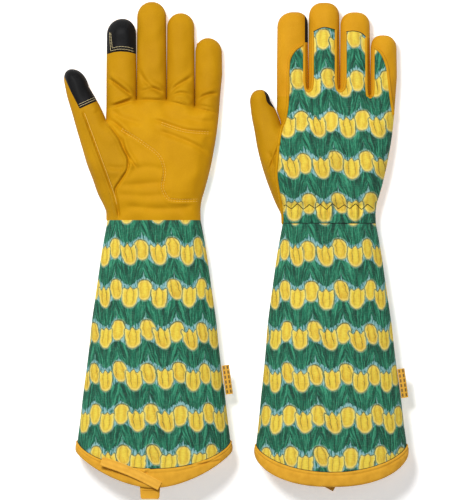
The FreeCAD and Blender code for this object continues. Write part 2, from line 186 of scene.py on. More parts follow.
CLOTH_UNIT = 100.0                            # mm of cloth for 1 in the flat coordinates


def linear(*rgb):
    """A colour from red, green and blue between 0 and 255."""
    return tuple(((c / 255 + 0.055) / 1.055) ** 2.4 if c > 10 else c / 255 / 12.92 for c in rgb) + (1.0,)


def put(value, slot):
    """Feeds a node's input with a Num, a socket, a plain number or a colour between 0 and 255."""
    value = getattr(value, "socket", value)
    if isinstance(value, bpy.types.NodeSocket):
        slot.id_data.links.new(value, slot)
    else:
        slot.default_value = linear(*value) if isinstance(value, tuple) else value


class Num:
    """A number in a material, with arithmetic that adds Math nodes."""

    def __init__(self, socket):
        self.socket = socket

    def apply(self, operation, *others, clamp=False):
        node = self.socket.id_data.nodes.new("ShaderNodeMath")
        node.operation, node.use_clamp = operation, clamp
        for value, slot in zip((self, *others), node.inputs):
            put(value, slot)
        return Num(node.outputs[0])

    __add__ = __radd__ = partialmethod(apply, "ADD")
    __sub__ = partialmethod(apply, "SUBTRACT")
    __mul__ = __rmul__ = partialmethod(apply, "MULTIPLY")
    __truediv__ = partialmethod(apply, "DIVIDE")
    abs = partialmethod(apply, "ABSOLUTE")
    sin = partialmethod(apply, "SINE")
    cos = partialmethod(apply, "COSINE")
    floor = partialmethod(apply, "FLOOR")
    sqrt = partialmethod(apply, "SQRT")
    power = partialmethod(apply, "POWER")
    low = partialmethod(apply, "MINIMUM")
    high = partialmethod(apply, "MAXIMUM")
    soft_high = partialmethod(apply, "SMOOTH_MAX")

    def __rsub__(self, other):
        return (self * -1.0) + other

    def round(self):
        return (self + 0.5).floor()

    def wave(self, pitch):
        return (self * (TURN / pitch)).sin()

    def step(self, a, b):
        """0 below a, 1 above b, straight between; a may be the larger one."""
        return ((self - a) / (b - a)).apply("ADD", 0.0, clamp=True)


class Paint:
    """Builds one material."""

    def __init__(self, name, **shader):
        self.material = bpy.data.materials.new(name)
        self.material.use_nodes = True
        self.tree = self.material.node_tree
        self.bumps = None
        self.set(**shader)

    def set(self, **values):
        """Feeds the shader's inputs; an underscore stands for a space in an input's name."""
        for name, value in values.items():
            put(value, self.tree.nodes["Principled BSDF"].inputs[name.replace("_", " ")])

    def node(self, kind, feeds, **settings):
        """A new node; feeds says what goes into its inputs, by name or number."""
        made = self.tree.nodes.new("ShaderNode" + kind)
        for name, value in settings.items():
            setattr(made, name, value)
        for name, value in feeds.items():
            put(value, made.inputs[name])
        return made

    def place(self):
        """Object coordinates in millimetres."""
        metres = self.node("TexCoord", {}).outputs["Object"]
        return self.node("VectorMath", {0: metres, "Scale": 1 / MM}, operation="SCALE").outputs[0]

    def flat(self):
        """(across, along) of the cut panel, in millimetres."""
        cloth = self.node("UVMap", {}, uv_map="flat").outputs[0]
        across, along, _ = self.node("SeparateXYZ", {0: cloth}).outputs
        return Num(across) * CLOTH_UNIT, Num(along) * CLOTH_UNIT

    def vector(self, x, y, z=0.0):
        return self.node("CombineXYZ", {0: x, 1: y, 2: z}).outputs[0]

    def noise(self, where, size, detail=2.0, rough=0.5):
        """Smooth noise from 0 to 1 whose lumps are about size across."""
        feeds = {"Vector": where, "Scale": 1.0 / size, "Detail": detail, "Roughness": rough}
        return Num(self.node("TexNoise", feeds).outputs[0])

    def chance(self, where):
        """An even random number from 0 to 1 for each different place."""
        return Num(self.node("TexWhiteNoise", {"Vector": where}, noise_dimensions="3D").outputs["Value"])

    def mix(self, share, a, b):
        """a where share is 0 and b where it is 1; each is a colour or a socket."""
        return self.node("Mix", {0: share, 6: a, 7: b}, data_type="RGBA").outputs[2]

    def bump(self, height, depth, strength):
        """Relief of depth mm, on top of the relief so far."""
        feeds = {"Distance": depth * MM, "Strength": strength, "Height": height}
        if self.bumps:
            feeds["Normal"] = self.bumps
        self.bumps = self.node("Bump", feeds).outputs[0]
        self.set(Normal=self.bumps)


def leather(name, colour, light, dark):
    """Soft brushed microfibre leather: fine nap, faint clouding and a fine pebble."""
    p = Paint(name, Specular_IOR_Level=0.10)
    where = p.place()
    cloud = p.noise(where, 24.0, 3.0)
    nap = p.noise(where, 0.9, 3.0, 0.6)
    pores = p.noise(where, 0.35)
    tint = p.mix(cloud.step(0.3, 0.72), dark, colour)
    tint = p.mix(nap.step(0.5, 0.8) * 0.35, tint, light)
    tint = p.mix(nap.step(0.48, 0.2) * 0.25, tint, dark)
    p.set(Base_Color=tint, Roughness=0.62 + nap * 0.18)
    p.bump(nap, 0.05, 0.5)
    p.bump(pores, 0.04, 0.5)
    return p.material


def weave(across, along, pitch):
    """Plain-weave threads: two crossing sine ridges."""
    return across.wave(pitch) * along.wave(pitch) * 0.5 + 0.5


PERIOD, ROW = 25.2, 34.4                      # mm from one closed tulip to the next, and between rows
YELLOW, AMBER, RIM, INK = (230, 205, 68), (208, 164, 44), (234, 220, 138), (56, 74, 46)
GREEN, DEEP_GREEN, LIGHT_GREEN = (11, 103, 76), (1, 60, 46), (58, 152, 116)
BLUE, LIGHT_BLUE, DARK_BLUE = (90, 148, 156), (138, 184, 182), (34, 98, 108)


class TulipCotton(Paint):
    """Woven cotton with rows of yellow tulips between zigzag bands of leaves on pale blue."""

    def __init__(self, name):
        super().__init__(name, Roughness=0.85, Sheen_Weight=0.03, Sheen_Roughness=0.5, Specular_IOR_Level=0.1)
        u, v = self.flat()
        self.wobble = self.noise(self.vector(u, v), 5.0) - 0.5
        self.wobble2 = self.noise(self.vector(u + 40.0, v + 70.0), 5.0) - 0.5
        drawn_u, drawn_v = u + self.wobble * 2.4, v + self.wobble2 * 2.4
        stems = self.noise(self.vector(u, v * 0.18), 1.2, 2.0, 0.6)
        ground = self.ground(stems)
        tint = self.leaves(drawn_u, drawn_v, stems, ground)
        self.glow = self.mix(self.streak * 0.9, ground, (206, 212, 140))
        row, near = (v / ROW).round(), u / PERIOD
        # closed tulips, then the open ones half a period on and a little lower
        for opened, column, first, low, sway, half_width, half_height in (
                (False, near.round(), 1.0, 0.0, 2.6, 6.5, 8.6),
                (True, (near - 0.5).round() + 0.5, 2.0, 5.9, 2.4, 6.8, 8.8)):
            seed = self.chance(self.vector(column, row, first))
            seed2 = self.chance(self.vector(column, row, first + 4.0)) - 0.5
            across = drawn_u - column * PERIOD + seed2 * 2.2
            up = v - row * ROW + low + seed2 * sway + self.wobble2 * 1.2
            tint = self.flower(tint, across, up, seed, half_width, half_height, opened)
        self.threads(tint, u, v)

    def ground(self, stems):
        """Pale blue with strokes of stems."""
        tint = self.mix(stems.step(0.42, 0.6), BLUE, LIGHT_BLUE)
        tint = self.mix(stems.step(0.50, 0.44) * 0.85, tint, DARK_BLUE)
        return self.mix(stems.step(0.45, 0.40) * 0.8, tint, GREEN)

    def leaves(self, u, v, stems, ground):
        """ground with its leaves: a band hangs in a V under each open tulip, with strokes that fan up."""
        band = (v * (-1.0 / ROW)).floor()
        under = v * -1.0 - band * ROW
        from_closed = u - (u / PERIOD).round() * PERIOD
        share = from_closed.abs() * (2 / PERIOD)
        seed = (u / PERIOD).floor() * 7.0 + from_closed.step(-0.1, 0.1) * 3.0 + band
        ragged = (self.noise(self.vector(u, band * 5.0), 1.1, 2.0, 0.7) - 0.5) * 7.0
        top = 10.4 - (share * math.pi).cos() * 3.1
        low = share * 8.0 + 23.2
        leafy = (under - top - ragged * 0.3).step(-0.4, 0.5) * (low + ragged - under).step(-0.3, 0.3)
        fan = (PERIOD / 2 - from_closed.abs()) / ((28.7 - under) * 0.055 + 1.0).high(0.6)
        self.streak = self.noise(self.vector(fan, under * 0.05, seed), 1.15, 3.0, 0.6)
        self.fine = self.noise(self.vector(fan * 2.0, under * 0.09, seed + 20.0), 0.9, 2.0, 0.6)
        leaf = self.mix(self.streak.step(0.40, 0.54), DEEP_GREEN, GREEN)
        leaf = self.mix(self.streak.step(0.55, 0.62) * 0.8, leaf, LIGHT_GREEN)
        leaf = self.mix(self.fine.step(0.56, 0.66) * 0.6, leaf, LIGHT_GREEN)
        leaf = self.mix(self.fine.step(0.44, 0.36) * 0.7, leaf, DEEP_GREEN)
        tint = self.mix(leafy, ground, leaf)
        # a few pale stems run up into the leaves over each closed tulip
        stem = (from_closed.abs() - (under - 17.0) * 0.16).step(0.1, -0.5) * stems.step(0.44, 0.56)
        return self.mix(stem * under.step(15.5, 19.0) * 0.75, tint, LIGHT_BLUE)

    def flower(self, tint, across, up, seed, half_width, half_height, opened):
        """tint with one tulip head centred on (0, 0): closed like an egg, or open with three petals."""
        across = across + up * ((seed - 0.5) * 0.34)
        t = up / half_height
        side = across.abs() / half_width
        if opened:
            side = side / (1.0 + t * (seed * 0.12 - 0.03))
            crown = (side * (TURN / 0.84)).cos() * (seed * 0.10 + 0.07) - side * 0.12 + 0.90
            cup = (side.power(2.05) + t.low(0.0).abs().power(2.05)).power(1 / 2.05)
            body = cup.soft_high(t / crown, 0.16)
            vein_at, vein_wave, vein_ink = 0.42, 1.6, seed * 0.4 + 0.45
        else:
            side = side / (t * 0.10 + 0.97)
            body = (side.power(2.2) + t.abs().power(2.2)).power(0.45)
            vein_at, vein_wave, vein_ink = 0.52, 3.0, seed * 0.7
        shade = t * -0.35 + 0.2 + (seed - 0.5) * 0.5 + (self.fine - 0.5) * 2.2 + self.wobble * 1.4
        head = self.mix(shade.step(0.0, 1.0), YELLOW, AMBER)
        head = self.mix(body.step(0.72, 0.95) * 0.7, head, RIM)
        arch = (1.0 - t * t).high(0.0).sqrt() * half_width
        petal = (across.abs() - arch * 0.46 + self.wobble2 * 2.0).abs().step(2.1, 0.3)
        head = self.mix(petal * t.step(-1.0, -0.2) * 0.6, head, AMBER)
        vein = (across.abs() - arch * vein_at + self.wobble2 * vein_wave).abs().step(0.42, 0.1)
        head = self.mix(vein * t.step(-0.8, -0.3) * vein_ink, head, INK)
        edge = (body - 0.985).abs().step(0.09, 0.025)
        edge = edge * (self.streak.step(0.38, 0.55) * 0.5 + 0.42) * (t.step(-1.0, 0.1) * 0.5 + 0.5)
        tint = self.mix(body.step(1.16, 1.02) * 0.6, tint, self.glow)
        tint = self.mix(body.step(1.02, 0.97), tint, head)
        return self.mix(edge, tint, INK)

    def threads(self, tint, u, v):
        """The weave over the print, with thicker threads here and there."""
        threads = weave(u, v, 0.62)
        slub = self.noise(self.vector(u * 0.25, v * 2.2), 1.2)
        tint = self.mix(threads * 0.03 + slub.step(0.5, 0.8) * 0.04, tint, (255, 255, 235))
        self.set(Base_Color=self.mix(slub.step(0.5, 0.25) * 0.18, tint, (20, 60, 50)))
        self.bump(threads, 0.10, 0.5)
        self.bump(slub, 0.12, 0.35)


def pad_leather(name):
    p = Paint(name, Sheen_Weight=0.03, Specular_IOR_Level=0.12)
    grain = p.noise(p.place(), 0.9, 3.0, 0.6)
    p.set(Base_Color=p.mix(grain.step(0.35, 0.75), (14, 14, 15), (25, 25, 26)), Roughness=0.48 + grain * 0.2)
    p.bump(grain, 0.08, 0.6)
    return p.material


def woven(name, base, light, dark, pitch, depth=0.12):
    """Twill tape or webbing; its threads follow the piece's own flat coordinates."""
    p = Paint(name, Roughness=0.78, Sheen_Weight=0.05, Sheen_Roughness=0.5, Specular_IOR_Level=0.15)
    u, v = p.flat()
    ribs = (u + v).wave(pitch) * 0.5 + 0.5
    cross = v.wave(pitch * 0.7) * 0.5 + 0.5
    cloud = p.noise(p.place(), 6.0, 3.0)
    tint = p.mix(cloud.step(0.3, 0.7), dark, base)
    p.set(Base_Color=p.mix(ribs * 0.28, tint, light))
    p.bump(ribs * 0.7 + cross * 0.3, depth, 0.6)
    return p.material


def plain(name, colour, shade, size=0.5, roughness=0.7, depth=0.05):
    """Thread or lining with no pattern but its fibres, about size across."""
    p = Paint(name, Roughness=roughness, Specular_IOR_Level=0.3)
    fibre = p.noise(p.place(), size, 3.0, 0.6)
    p.set(Base_Color=p.mix(fibre.step(0.3, 0.7), shade, colour))
    p.bump(fibre, depth, 0.6)
    return p.material


def tag_weave(name):
    """Gold damask with two plain dark stripes and no lettering."""
    p = Paint(name, Roughness=0.6, Sheen_Weight=0.3, Specular_IOR_Level=0.4)
    u, v = p.flat()
    threads = weave(u, v, 0.5)
    tint = p.mix(threads * 0.35, (214, 156, 24), (238, 188, 60))
    from_dot = v - (v / 4.0).floor() * 4.0 - 2.0
    stripe = (u.abs() - 1.5).abs().step(0.75, 0.55) * from_dot.abs().step(1.5, 1.2)
    p.set(Base_Color=p.mix(stripe * 0.85, tint, (62, 42, 16)))
    p.bump(threads, 0.08, 0.5)
    return p.material


GOLD = leather("gold_leather", (208, 150, 26), (222, 168, 46), (198, 139, 18))
PALM = leather("palm_leather", (200, 146, 10), (214, 160, 22), (190, 136, 8))
FRONT = leather("front_leather", (189, 138, 10), (202, 152, 22), (180, 129, 8))
THUMB = leather("thumb_leather", (186, 136, 10), (200, 150, 24), (176, 126, 8))
PRINT = TulipCotton("tulip_print").material
BLACK = pad_leather("black_leather")
BINDING = woven("binding_twill", (220, 160, 38), (236, 190, 84), (204, 144, 26), 0.9)
WEBBING = woven("strap_webbing", (238, 176, 56), (248, 206, 108), (222, 158, 42), 1.3, 0.22)
LINING = plain("cotton_lining", (226, 216, 190), (206, 196, 170), 1.2, 0.9, 0.08)
THREAD = plain("gold_thread", (244, 206, 110), (226, 180, 78))
PALE_THREAD = plain("pale_thread", (244, 228, 178), (226, 204, 146))
DARK_THREAD = plain("dark_thread", (30, 34, 30), (16, 18, 16))
TAG = tag_weave("tag_weave")


# ---------------------------------------------------------------- meshes that are cut along seams

NOT_ON_LINE = 0.02                            # a vertex nearer than this to a cut counts as beside it


class Sheet:
    """A mesh in a glove's own frame. data columns are x, y, z, then u, v on the flat cloth."""

    def __init__(self, data, faces):
        self.data, self.faces = np.asarray(data, float), faces

    @property
    def x(self):
        return self.data[:, 0]

    @property
    def y(self):
        return self.data[:, 1]

    def cut(self, value):
        """Two sheets: where value (one number for each vertex) is positive, and the rest."""
        value = np.where(np.abs(value) < NOT_ON_LINE, NOT_ON_LINE, value)
        rows = list(self.data)
        made, parts = {}, ([], [])
        for face in self.faces:
            signs = [value[i] > 0 for i in face]
            if all(signs) or not any(signs):
                parts[0 if signs[0] else 1].append(face)
                continue
            pieces = ([], [])
            for a, b in zip(face, face[1:] + face[:1]):
                pieces[0 if value[a] > 0 else 1].append(a)
                if (value[a] > 0) != (value[b] > 0):
                    key = (min(a, b), max(a, b))
                    if key not in made:
                        lo, hi = key
                        t = value[lo] / (value[lo] - value[hi])
                        made[key] = len(rows)
                        rows.append(self.data[lo] + (self.data[hi] - self.data[lo]) * t)
                    pieces[0].append(made[key])
                    pieces[1].append(made[key])
            for part, piece in zip(parts, pieces):
                if len(piece) > 2:
                    part.append(piece)
        rows = np.asarray(rows)
        return Sheet(rows, parts[0]).used(), Sheet(rows, parts[1]).used()

    def used(self):
        """Only the vertices that faces use."""
        ids = sorted({i for face in self.faces for i in face})
        new = {old: n for n, old in enumerate(ids)}
        faces = [[new[i] for i in face] for face in self.faces]
        return Sheet(self.data[ids] if ids else self.data[:0], faces)

    def flipped(self, wanted=True):
        return Sheet(self.data, [face[::-1] for face in self.faces]) if wanted else self


def grid(points, closed=False):
    """A sheet from an array of rows x columns x (x, y, z, u, v)."""
    rows, cols = points.shape[:2]
    faces = []
    for r in range(rows - 1):
        for c in range(cols if closed else cols - 1):
            n = (c + 1) % cols
            faces.append([r * cols + c, r * cols + n, (r + 1) * cols + n, (r + 1) * cols + c])
    return Sheet(points.reshape(rows * cols, points.shape[2]), faces)


def joined(sheets):
    """Several sheets as one, with vertices that lie on one another merged."""
    rows, faces, where = [], [], {}
    for sheet in sheets:
        ids = []
        for row in sheet.data:
            key = tuple(np.round(row[:3] * 200).astype(int))
            if key not in where:
                where[key] = len(rows)
                rows.append(row)
            ids.append(where[key])
        for face in sheet.faces:
            new = [ids[i] for i in face]
            new = [a for a, b in zip(new, new[1:] + new[:1]) if a != b]
            if len(set(new)) == len(new) > 2:
                faces.append(new)
    return Sheet(np.asarray(rows), faces)


def skin(line, rings, across):
    """A closed skin over rings (along line x around x 3), shut at both ends; across is its flat width."""
    around = rings.shape[1]
    along = np.broadcast_to(travelled(line)[:, None], rings.shape[:2])
    made = grid(np.concatenate([rings, np.stack([across, along], -1)], -1), closed=True)
    last = (len(line) - 1) * around
    made.faces += [list(range(around))[::-1], [last + i for i in range(around)]]
    return made


def tube(path, radius, around=6, ends=0.35):
    """A round cord along path (n x 3), with its ends drawn in."""
    path = np.asarray(path, float)
    step = unit(np.gradient(path, axis=0))
    side = np.cross(step, (0.0, 0.0, 1.0))
    side[np.linalg.norm(side, axis=1) < 1e-3] = (1.0, 0.0, 0.0)
    side = unit(side)
    top = np.cross(side, step)
    size = np.full(len(path), radius)
    size[[0, -1]] *= ends
    angle = np.linspace(0, TURN, around, endpoint=False)[None, :, None]
    spokes = np.cos(angle) * side[:, None] + np.sin(angle) * top[:, None]
    rings = path[:, None] + size[:, None, None] * spokes
    return skin(path, rings, np.broadcast_to(angle[..., 0] * radius, rings.shape[:2]))


RIBBON_POINTS = 15                            # across each face of a tape


def ribbon(line, widths, thick, crown=0.0, rib=0.0):
    """A flat tape along line (n x 3) that faces up, with rounded long edges."""
    line = np.asarray(line, float)
    step = unit(np.gradient(line, axis=0))
    across = unit(np.cross(step, (0.0, 0.0, 1.0)))
    face = np.cross(across, step)
    u = np.linspace(-1, 1, RIBBON_POINTS)
    u = np.r_[u, u[::-1]]
    upper = np.repeat([1, 0], RIBBON_POINTS)
    h = (2 * upper - 1) * (1 - np.clip(np.abs(u) - 0.86, 0, 1) ** 2 * 51)
    side = u * widths[:, None] / 2
    high = h * thick / 2 + crown * (1 - u * u) + rib * (np.cos(u * TURN) * 0.5 - 0.5) * (h > 0)
    rings = line[:, None] + side[..., None] * across[:, None] + high[:, None] * face[:, None]
    return skin(line, rings, side).flipped()


# ---------------------------------------------------------------- the shape of a glove

WALL = 0.7                                    # thickness of the cloth and leather
WRIST_HINGE = np.array([0.0, 6.0, 13.0])      # from the middle of the wrist seam, on the ground
WRIST_LEFT, WRIST_RIGHT = -35.5, 38.9         # where the hand's sides start at the wrist seam
SLIT_GAP = 0.008                              # each side's share of the gap between two fingers
TIP_REACH = (13.5, 13.0, 12.5, 12.5)          # how far below its tip each finger starts to round off
TIP_ROWS = 13.0                               # how far below the tips the rows crowd together
THUMB_ROUND = 2 / 2.2                         # the thumb's end is a superellipse with power 2.2
BELOW_WRIST = -12.0                           # the outline runs on past the seam, so no edge rounds off there
JOINTS = {joint["name"]: np.array(joint["pos_m"]) / MM
          for joint in frame["record"]["behaviour"]["joints"] if "pos_m" in joint}


def section(d, up):
    """Rise of the rounded section, from 0 at its edge to 1 on the flat part; the lower side is fuller."""
    power = 2.05 if up else 3.2
    return (1 - (1 - d) ** power) ** (1 / power)


def middle_height(y):
    """Height of the seams between palm and back over the ground."""
    return through([0, 25, 60, 100, 130, 200], [13.0, 14.0, 14.0, 11.5, 10.5, 10.0], y)


def bulge(x, y):
    """Half the thickness over the flat part."""
    hand = through([0, 6, 16, 45, 75, 100, 120, 200], [12.2, 12.2, 13.0, 15.0, 13.6, 11.0, 9.4, 8.6], y)
    return hand + (9.6 - hand) * smooth(-37, -52, x) * smooth(35, 75, y)


def crease(x, y, path, depth, width, fade, swell, beside, lean):
    """A groove along path, with a softer swelling beside it that is higher on the side that lean says."""
    d, s, along = to_path(x, y, path)
    ends = smooth(0, fade, along) * smooth(1, 1 - fade, along)
    share = 0.6 + lean * s * smooth(0, width, d)
    return depth * ends * (swell * hump(d - beside * width, 1.5 * width) * share - hump(d, width))


class Glove:
    """One glove's plan outline and heights. Sizes that differ between the two come in as settings."""

    def __init__(self, name, palm_up, edges, crotches, tips, thumb_left, thumb_right, thumb_tip):
        self.name, self.palm_up = name, palm_up
        self.origin = JOINTS[name + "_wrist_bend"] - WRIST_HINGE
        self.crotches, self.tips, self.web = crotches, tips, thumb_right[0][1]
        self.left, self.right = np.array(edges[:4]), np.array(edges[1:])
        self.thumb_left, self.thumb_right = rounded(thumb_left, 2.0), rounded(thumb_right, 2.0)
        self.thumb_tip = np.array(thumb_tip)
        self.outline = self.plan()

    def sign(self, side):
        """1 for the side that lies up and -1 for the other."""
        return 1.0 if (side == "palm") == self.palm_up else -1.0

    def bound(self, k, y):
        """x of the line between columns k - 1 and k; 0 and 4 are the outer edges."""
        if k == 0:
            return through([0, 30, 60, self.web, self.web + 12],
                           [WRIST_LEFT, -36.5, -38, -40.2, self.left[0]], y)
        if k == 4:
            outer = [WRIST_RIGHT, 38.7, 39.6, 41.9, 45.2, 48, 50.2, 52.7, 54.3, 55.2, self.right[3]]
            return through([0, 8, 16, 24, 36, 48, 60, 76, 92, 104, 122], outer, y)
        low = WRIST_LEFT + (WRIST_RIGHT - WRIST_LEFT) * k / 4
        return low + (self.left[k] - low) * np.clip(np.asarray(y, float) / self.crotches[k - 1], 0, 1)

    def column(self, k, y):
        """Left and right edges of column k at y, drawn in towards the fingertip."""
        left, right = self.bound(k, y), self.bound(k + 1, y)
        if k > 0:
            left = left + SLIT_GAP * smooth(0, 4, y - self.crotches[k - 1])
        if k < 3:
            right = right - SLIT_GAP * smooth(0, 4, y - self.crotches[k])
        t = np.clip((y - (self.tips[k] - TIP_REACH[k])) / TIP_REACH[k], 0, 1)
        centre = (left + right) / 2 + (0.8 if self.palm_up else 1.6, 0.2, 0.0, -0.6)[k] * t * t
        power = 2.1 if self.palm_up else 2.5
        taper = 1 - 0.035 * smooth(self.crotches[min(k, 2)] + 10, self.tips[k], y)
        half = (right - left) / 2 * (1 - t ** power) ** (1 / power) * taper
        return centre - half, centre + half

    def rows(self, k, start, step):
        """Places along column k: about every step, and closer together towards its tip."""
        straight = self.tips[k] - TIP_ROWS
        count = max(2, int(round((straight - start) / step)))
        turn = np.sin(np.linspace(0, math.pi / 2, 15)[1:]) * TIP_ROWS
        return np.r_[np.linspace(start, straight, count), straight + turn]

    def plan(self):
        """The closed outline of the hand with its thumb and the slits between the fingers."""
        points = [[(self.bound(4, 0.0), BELOW_WRIST)]]
        for k in (3, 2, 1, 0):
            up = self.rows(k, -2.0 if k == 3 else self.crotches[k], 2.0)
            points.append(np.stack([self.column(k, up)[1], up], 1))
            down = self.rows(k, self.web if k == 0 else self.crotches[k - 1], 2.0)[::-1][1:]
            points.append(np.stack([self.column(k, down)[0], down], 1))
        points += [self.thumb_right[:-1], self.thumb_round(), self.thumb_left[::-1], [(-39.0, BELOW_WRIST)]]
        return np.vstack(points)

    def thumb_round(self):
        """The round end of the thumb, from its right edge to its left edge."""
        return self.thumb_end(np.linspace(0, math.pi, 81)[1:-1])

    def thumb_end(self, angle):
        """Points of the thumb's round end; angle runs from 0 at its right edge to pi at its left edge."""
        a, b = self.thumb_left[-1], self.thumb_right[-1]
        c, s = np.cos(angle), np.sin(angle)
        return ((a + b) / 2 + np.outer(np.sign(c) * np.abs(c) ** THUMB_ROUND, (b - a) / 2)
                + np.outer(s ** THUMB_ROUND, self.thumb_tip - (a + b) / 2))

    def cover(self, side, x, y):
        """Height of one side over the ground at (x, y)."""
        x, y = np.asarray(x, float), np.asarray(y, float)
        d = to_path(x, y, np.vstack([self.outline, self.outline[:1]]))[0]
        palm_zone = smooth(self.crotches[1] + 8, self.crotches[1] - 30, y) * smooth(-52, -36, x)
        d = np.clip(np.where(d < 0.09, 0, d) / (11.6 + palm_zone * 8.0), 0, 1)
        up = self.sign(side) > 0
        profile = section(d, up)
        middle, full = middle_height(y), bulge(x, y)
        if up:
            crown = 1 - 0.05 * palm_zone * (x / 50) ** 2
            return middle + full * profile * crown + self.relief(side, x, y) * smooth(0.05, 0.6, d)
        return np.maximum(middle - np.minimum(full, middle - 0.4) * profile
                          + self.relief(side, x, y) * 0.25 * smooth(0.3, 0.9, d), 0.25)

    def relief(self, side, x, y):
        """Folds, seam lines and soft waves."""
        rise = ripple(x, y, 34, 3 if side == "palm" else 5) + ripple(x, y, 13, 11) * 0.28
        for path, depth, width in FOLDS[side]:
            rise = rise + crease(x, y, rounded(path, 2.0), FOLD_DEPTH * depth, width, **FOLD)
        for path, depth, width in SEAMS[side]:
            rise = rise + crease(x, y, rounded(path), SEAM_DEPTH * depth, width, **SEAM)
        if side == "palm":
            return rise + 0.8 * smooth(14, 2, y)
        gather = np.sin(x * TURN / PLEAT + 0.8 * np.sin(x * 0.31)) + 0.5 * np.sin(x * TURN / 5.3)
        return rise + 1.1 * gather * hump(y - 9, 9.0) - 1.9 * hump(y - 14.3, 3.6)

    def world(self, points):
        return (np.asarray(points, float)[..., :3] + self.origin) * MM

    def spot(self, x, y, z):
        return tuple(float(c) for c in self.world([x, y, z]))


PLEAT = 9.7                                   # mm from one gather of the elasticated wrist to the next
FOLD_DEPTH, SEAM_DEPTH = 2.7, 1.5
FOLD = dict(fade=0.18, swell=0.65, beside=2.1, lean=0.4)
SEAM = dict(fade=0.06, swell=0.6, beside=2.2, lean=-0.4)
# the arc under the fingers, where the finger fronts are sewn to the palm
ARC = [(-40, 92.8), (-36, 93.6), (-27, 97), (-13, 100), (2, 100), (14, 98.6), (30, 94.6), (52, 89.5)]
# folds and seam lines: where each runs, its depth and its width
FOLDS = {
    "palm": [
        ([(-50, 91), *ARC, (66, 87)], 0.5, 1.3),
        # index root: two folds that meet at the slit
        ([(-49, 125), (-40, 119), (-33, 114.5), (-25, 108.5), (-15.5, 101.5), (-10, 98)], 0.95, 1.5),
        ([(-52, 88), (-44, 91.5), (-37, 95), (-29, 97), (-21, 100), (-15, 102.5), (-9, 105)], 0.7, 1.4),
        # middle, ring and little roots
        ([(-17, 128), (-12.5, 123), (-8, 116.5), (-1, 110), (6, 106.5), (13, 105)], 0.55, 1.7),
        ([(-18, 106), (-10, 107.5), (0, 109.5), (9, 106), (14, 104)], 0.45, 1.6),
        ([(6, 99), (11.5, 103), (17, 110), (26, 116), (33, 120), (40, 123)], 0.65, 1.6),
        ([(6, 99.5), (12.5, 101.5), (19, 105.5), (27, 105.5), (33, 102), (38, 99)], 0.5, 1.4),
        ([(37, 97), (31, 96), (24, 100), (14, 101.5), (8, 102)], 0.4, 1.3),
        ([(28, 93), (33.5, 96.5), (39, 102), (47, 105), (57, 105.5), (66, 106)], 0.75, 1.5),
        ([(28, 96.5), (33.5, 95.5), (41, 95), (53, 92), (64, 90)], 0.45, 1.3),
        # across the palm
        ([(0, 75), (9, 72.5), (20, 68.5), (31, 64), (40, 59), (48, 53), (54, 48)], 0.55, 2.0),
        ([(-4, 84), (4, 82.5), (14, 79), (26, 75), (47, 73), (56, 72)], 0.5, 1.5),
        ([(22, 86), (34, 83), (46, 82), (58, 82)], 0.3, 2.0),
        # where the thumb joins
        ([(-44, 88), (-38, 84), (-31, 79.5), (-24, 73), (-20, 68)], 0.65, 1.5),
        ([(-40, 95), (-34, 90.5), (-27, 85.5), (-19, 82.5), (-8, 79)], 0.35, 2.2),
        ([(-27.5, 71), (-26, 65), (-24, 58), (-18.5, 49), (-14, 42)], 0.55, 1.2),
        ([(-21, 52), (-23, 45), (-33, 43.5), (-40, 45)], 0.4, 2.0),
        # the heel
        ([(-24, 41), (-17, 42), (-8, 44), (4, 43), (10, 41)], 0.22, 2.6),
        ([(-30, 28.5), (-22, 29), (-8, 30), (5, 31), (12, 31)], 0.26, 2.4),
        ([(-33, 21), (-26, 21), (-6, 20), (8, 21), (16, 22)], 0.2, 2.4),
        ([(-27, 11), (-20, 11), (0, 9.5), (24, 10), (36, 11)], 0.28, 2.4),
    ],
    "back": [
        ([(-30, 100), (-12, 106), (10, 104), (40, 99)], 0.2, 3.0),
        ([(-26, 70), (-5, 74), (20, 68)], 0.15, 3.0),
        ([(-52, 62), (-47, 50), (-46, 34)], 0.35, 1.6),
    ],
}

SEAMS = {
    "palm": [
        # thumb set-in, long thumb seam, and the line that bounds the patch
        ([(-40.5, 83.8), (-34, 75), (-28.6, 67.2), (-25.6, 60.0), (-21.2, 50.6), (-22, 42.3), (-27.5, 33),
          (-32, 25.7), (-30.5, 15), (-29.5, 6.6), (-29.5, 0)], 1.3, 1.0),
        ([(-60.2, 93), (-53.5, 75), (-46, 55), (-39, 36), (-33.6, 20), (-29.5, 3)], 1.2, 0.95),
        ([(-27, 75.5), (-8.7, 63.9), (6.2, 50.6), (8.7, 42.3), (7.9, 24.1), (12.9, 17.4), (18.7, 16.6),
          (37, 16.6)], 0.6, 1.0),
    ],
    "back": [
        ([(-40.5, 68), (-42.5, 64), (-46.5, 54), (-51.5, 42.5)], 0.9, 0.9),
    ],
}

gloves = {
    "left": Glove(
        "left", True, [-40.0, -14.7, 10.4, 34.0, 57.0], [101.0, 101.0, 95.5], [168.3, 182.4, 173.0, 152.2],
        thumb_left=[(-38.9, 0), (-39.6, 6), (-42.7, 13.5), (-46.9, 21.8), (-51.2, 34), (-56, 46.5), (-60, 60),
                    (-64.6, 75.5), (-69.3, 92), (-72.4, 102), (-75.0, 114)],
        thumb_right=[(-40.2, 83.8), (-44.6, 94), (-49.2, 102.5), (-54.6, 111.5)], thumb_tip=(-67.4, 126.2)),
    "right": Glove(
        "right", False, [-43.8, -17.4, 8.9, 34.3, 56.6], [113.0, 113.0, 107.5], [176.8, 184.6, 176.6, 157.4],
        thumb_left=[(-38.9, 0), (-39.8, 6), (-44.4, 16), (-48.0, 24.5), (-52.7, 37), (-56.6, 49.4),
                    (-59.8, 62), (-62.6, 78), (-64.9, 90), (-66.0, 99.5)],
        thumb_right=[(-40.2, 82.6), (-42.6, 90), (-45.3, 96), (-49.2, 102.4)], thumb_tip=(-59.2, 111.8)),
}
THUMB_AXIS = np.array([-math.sin(math.radians(22)), math.cos(math.radians(22))])
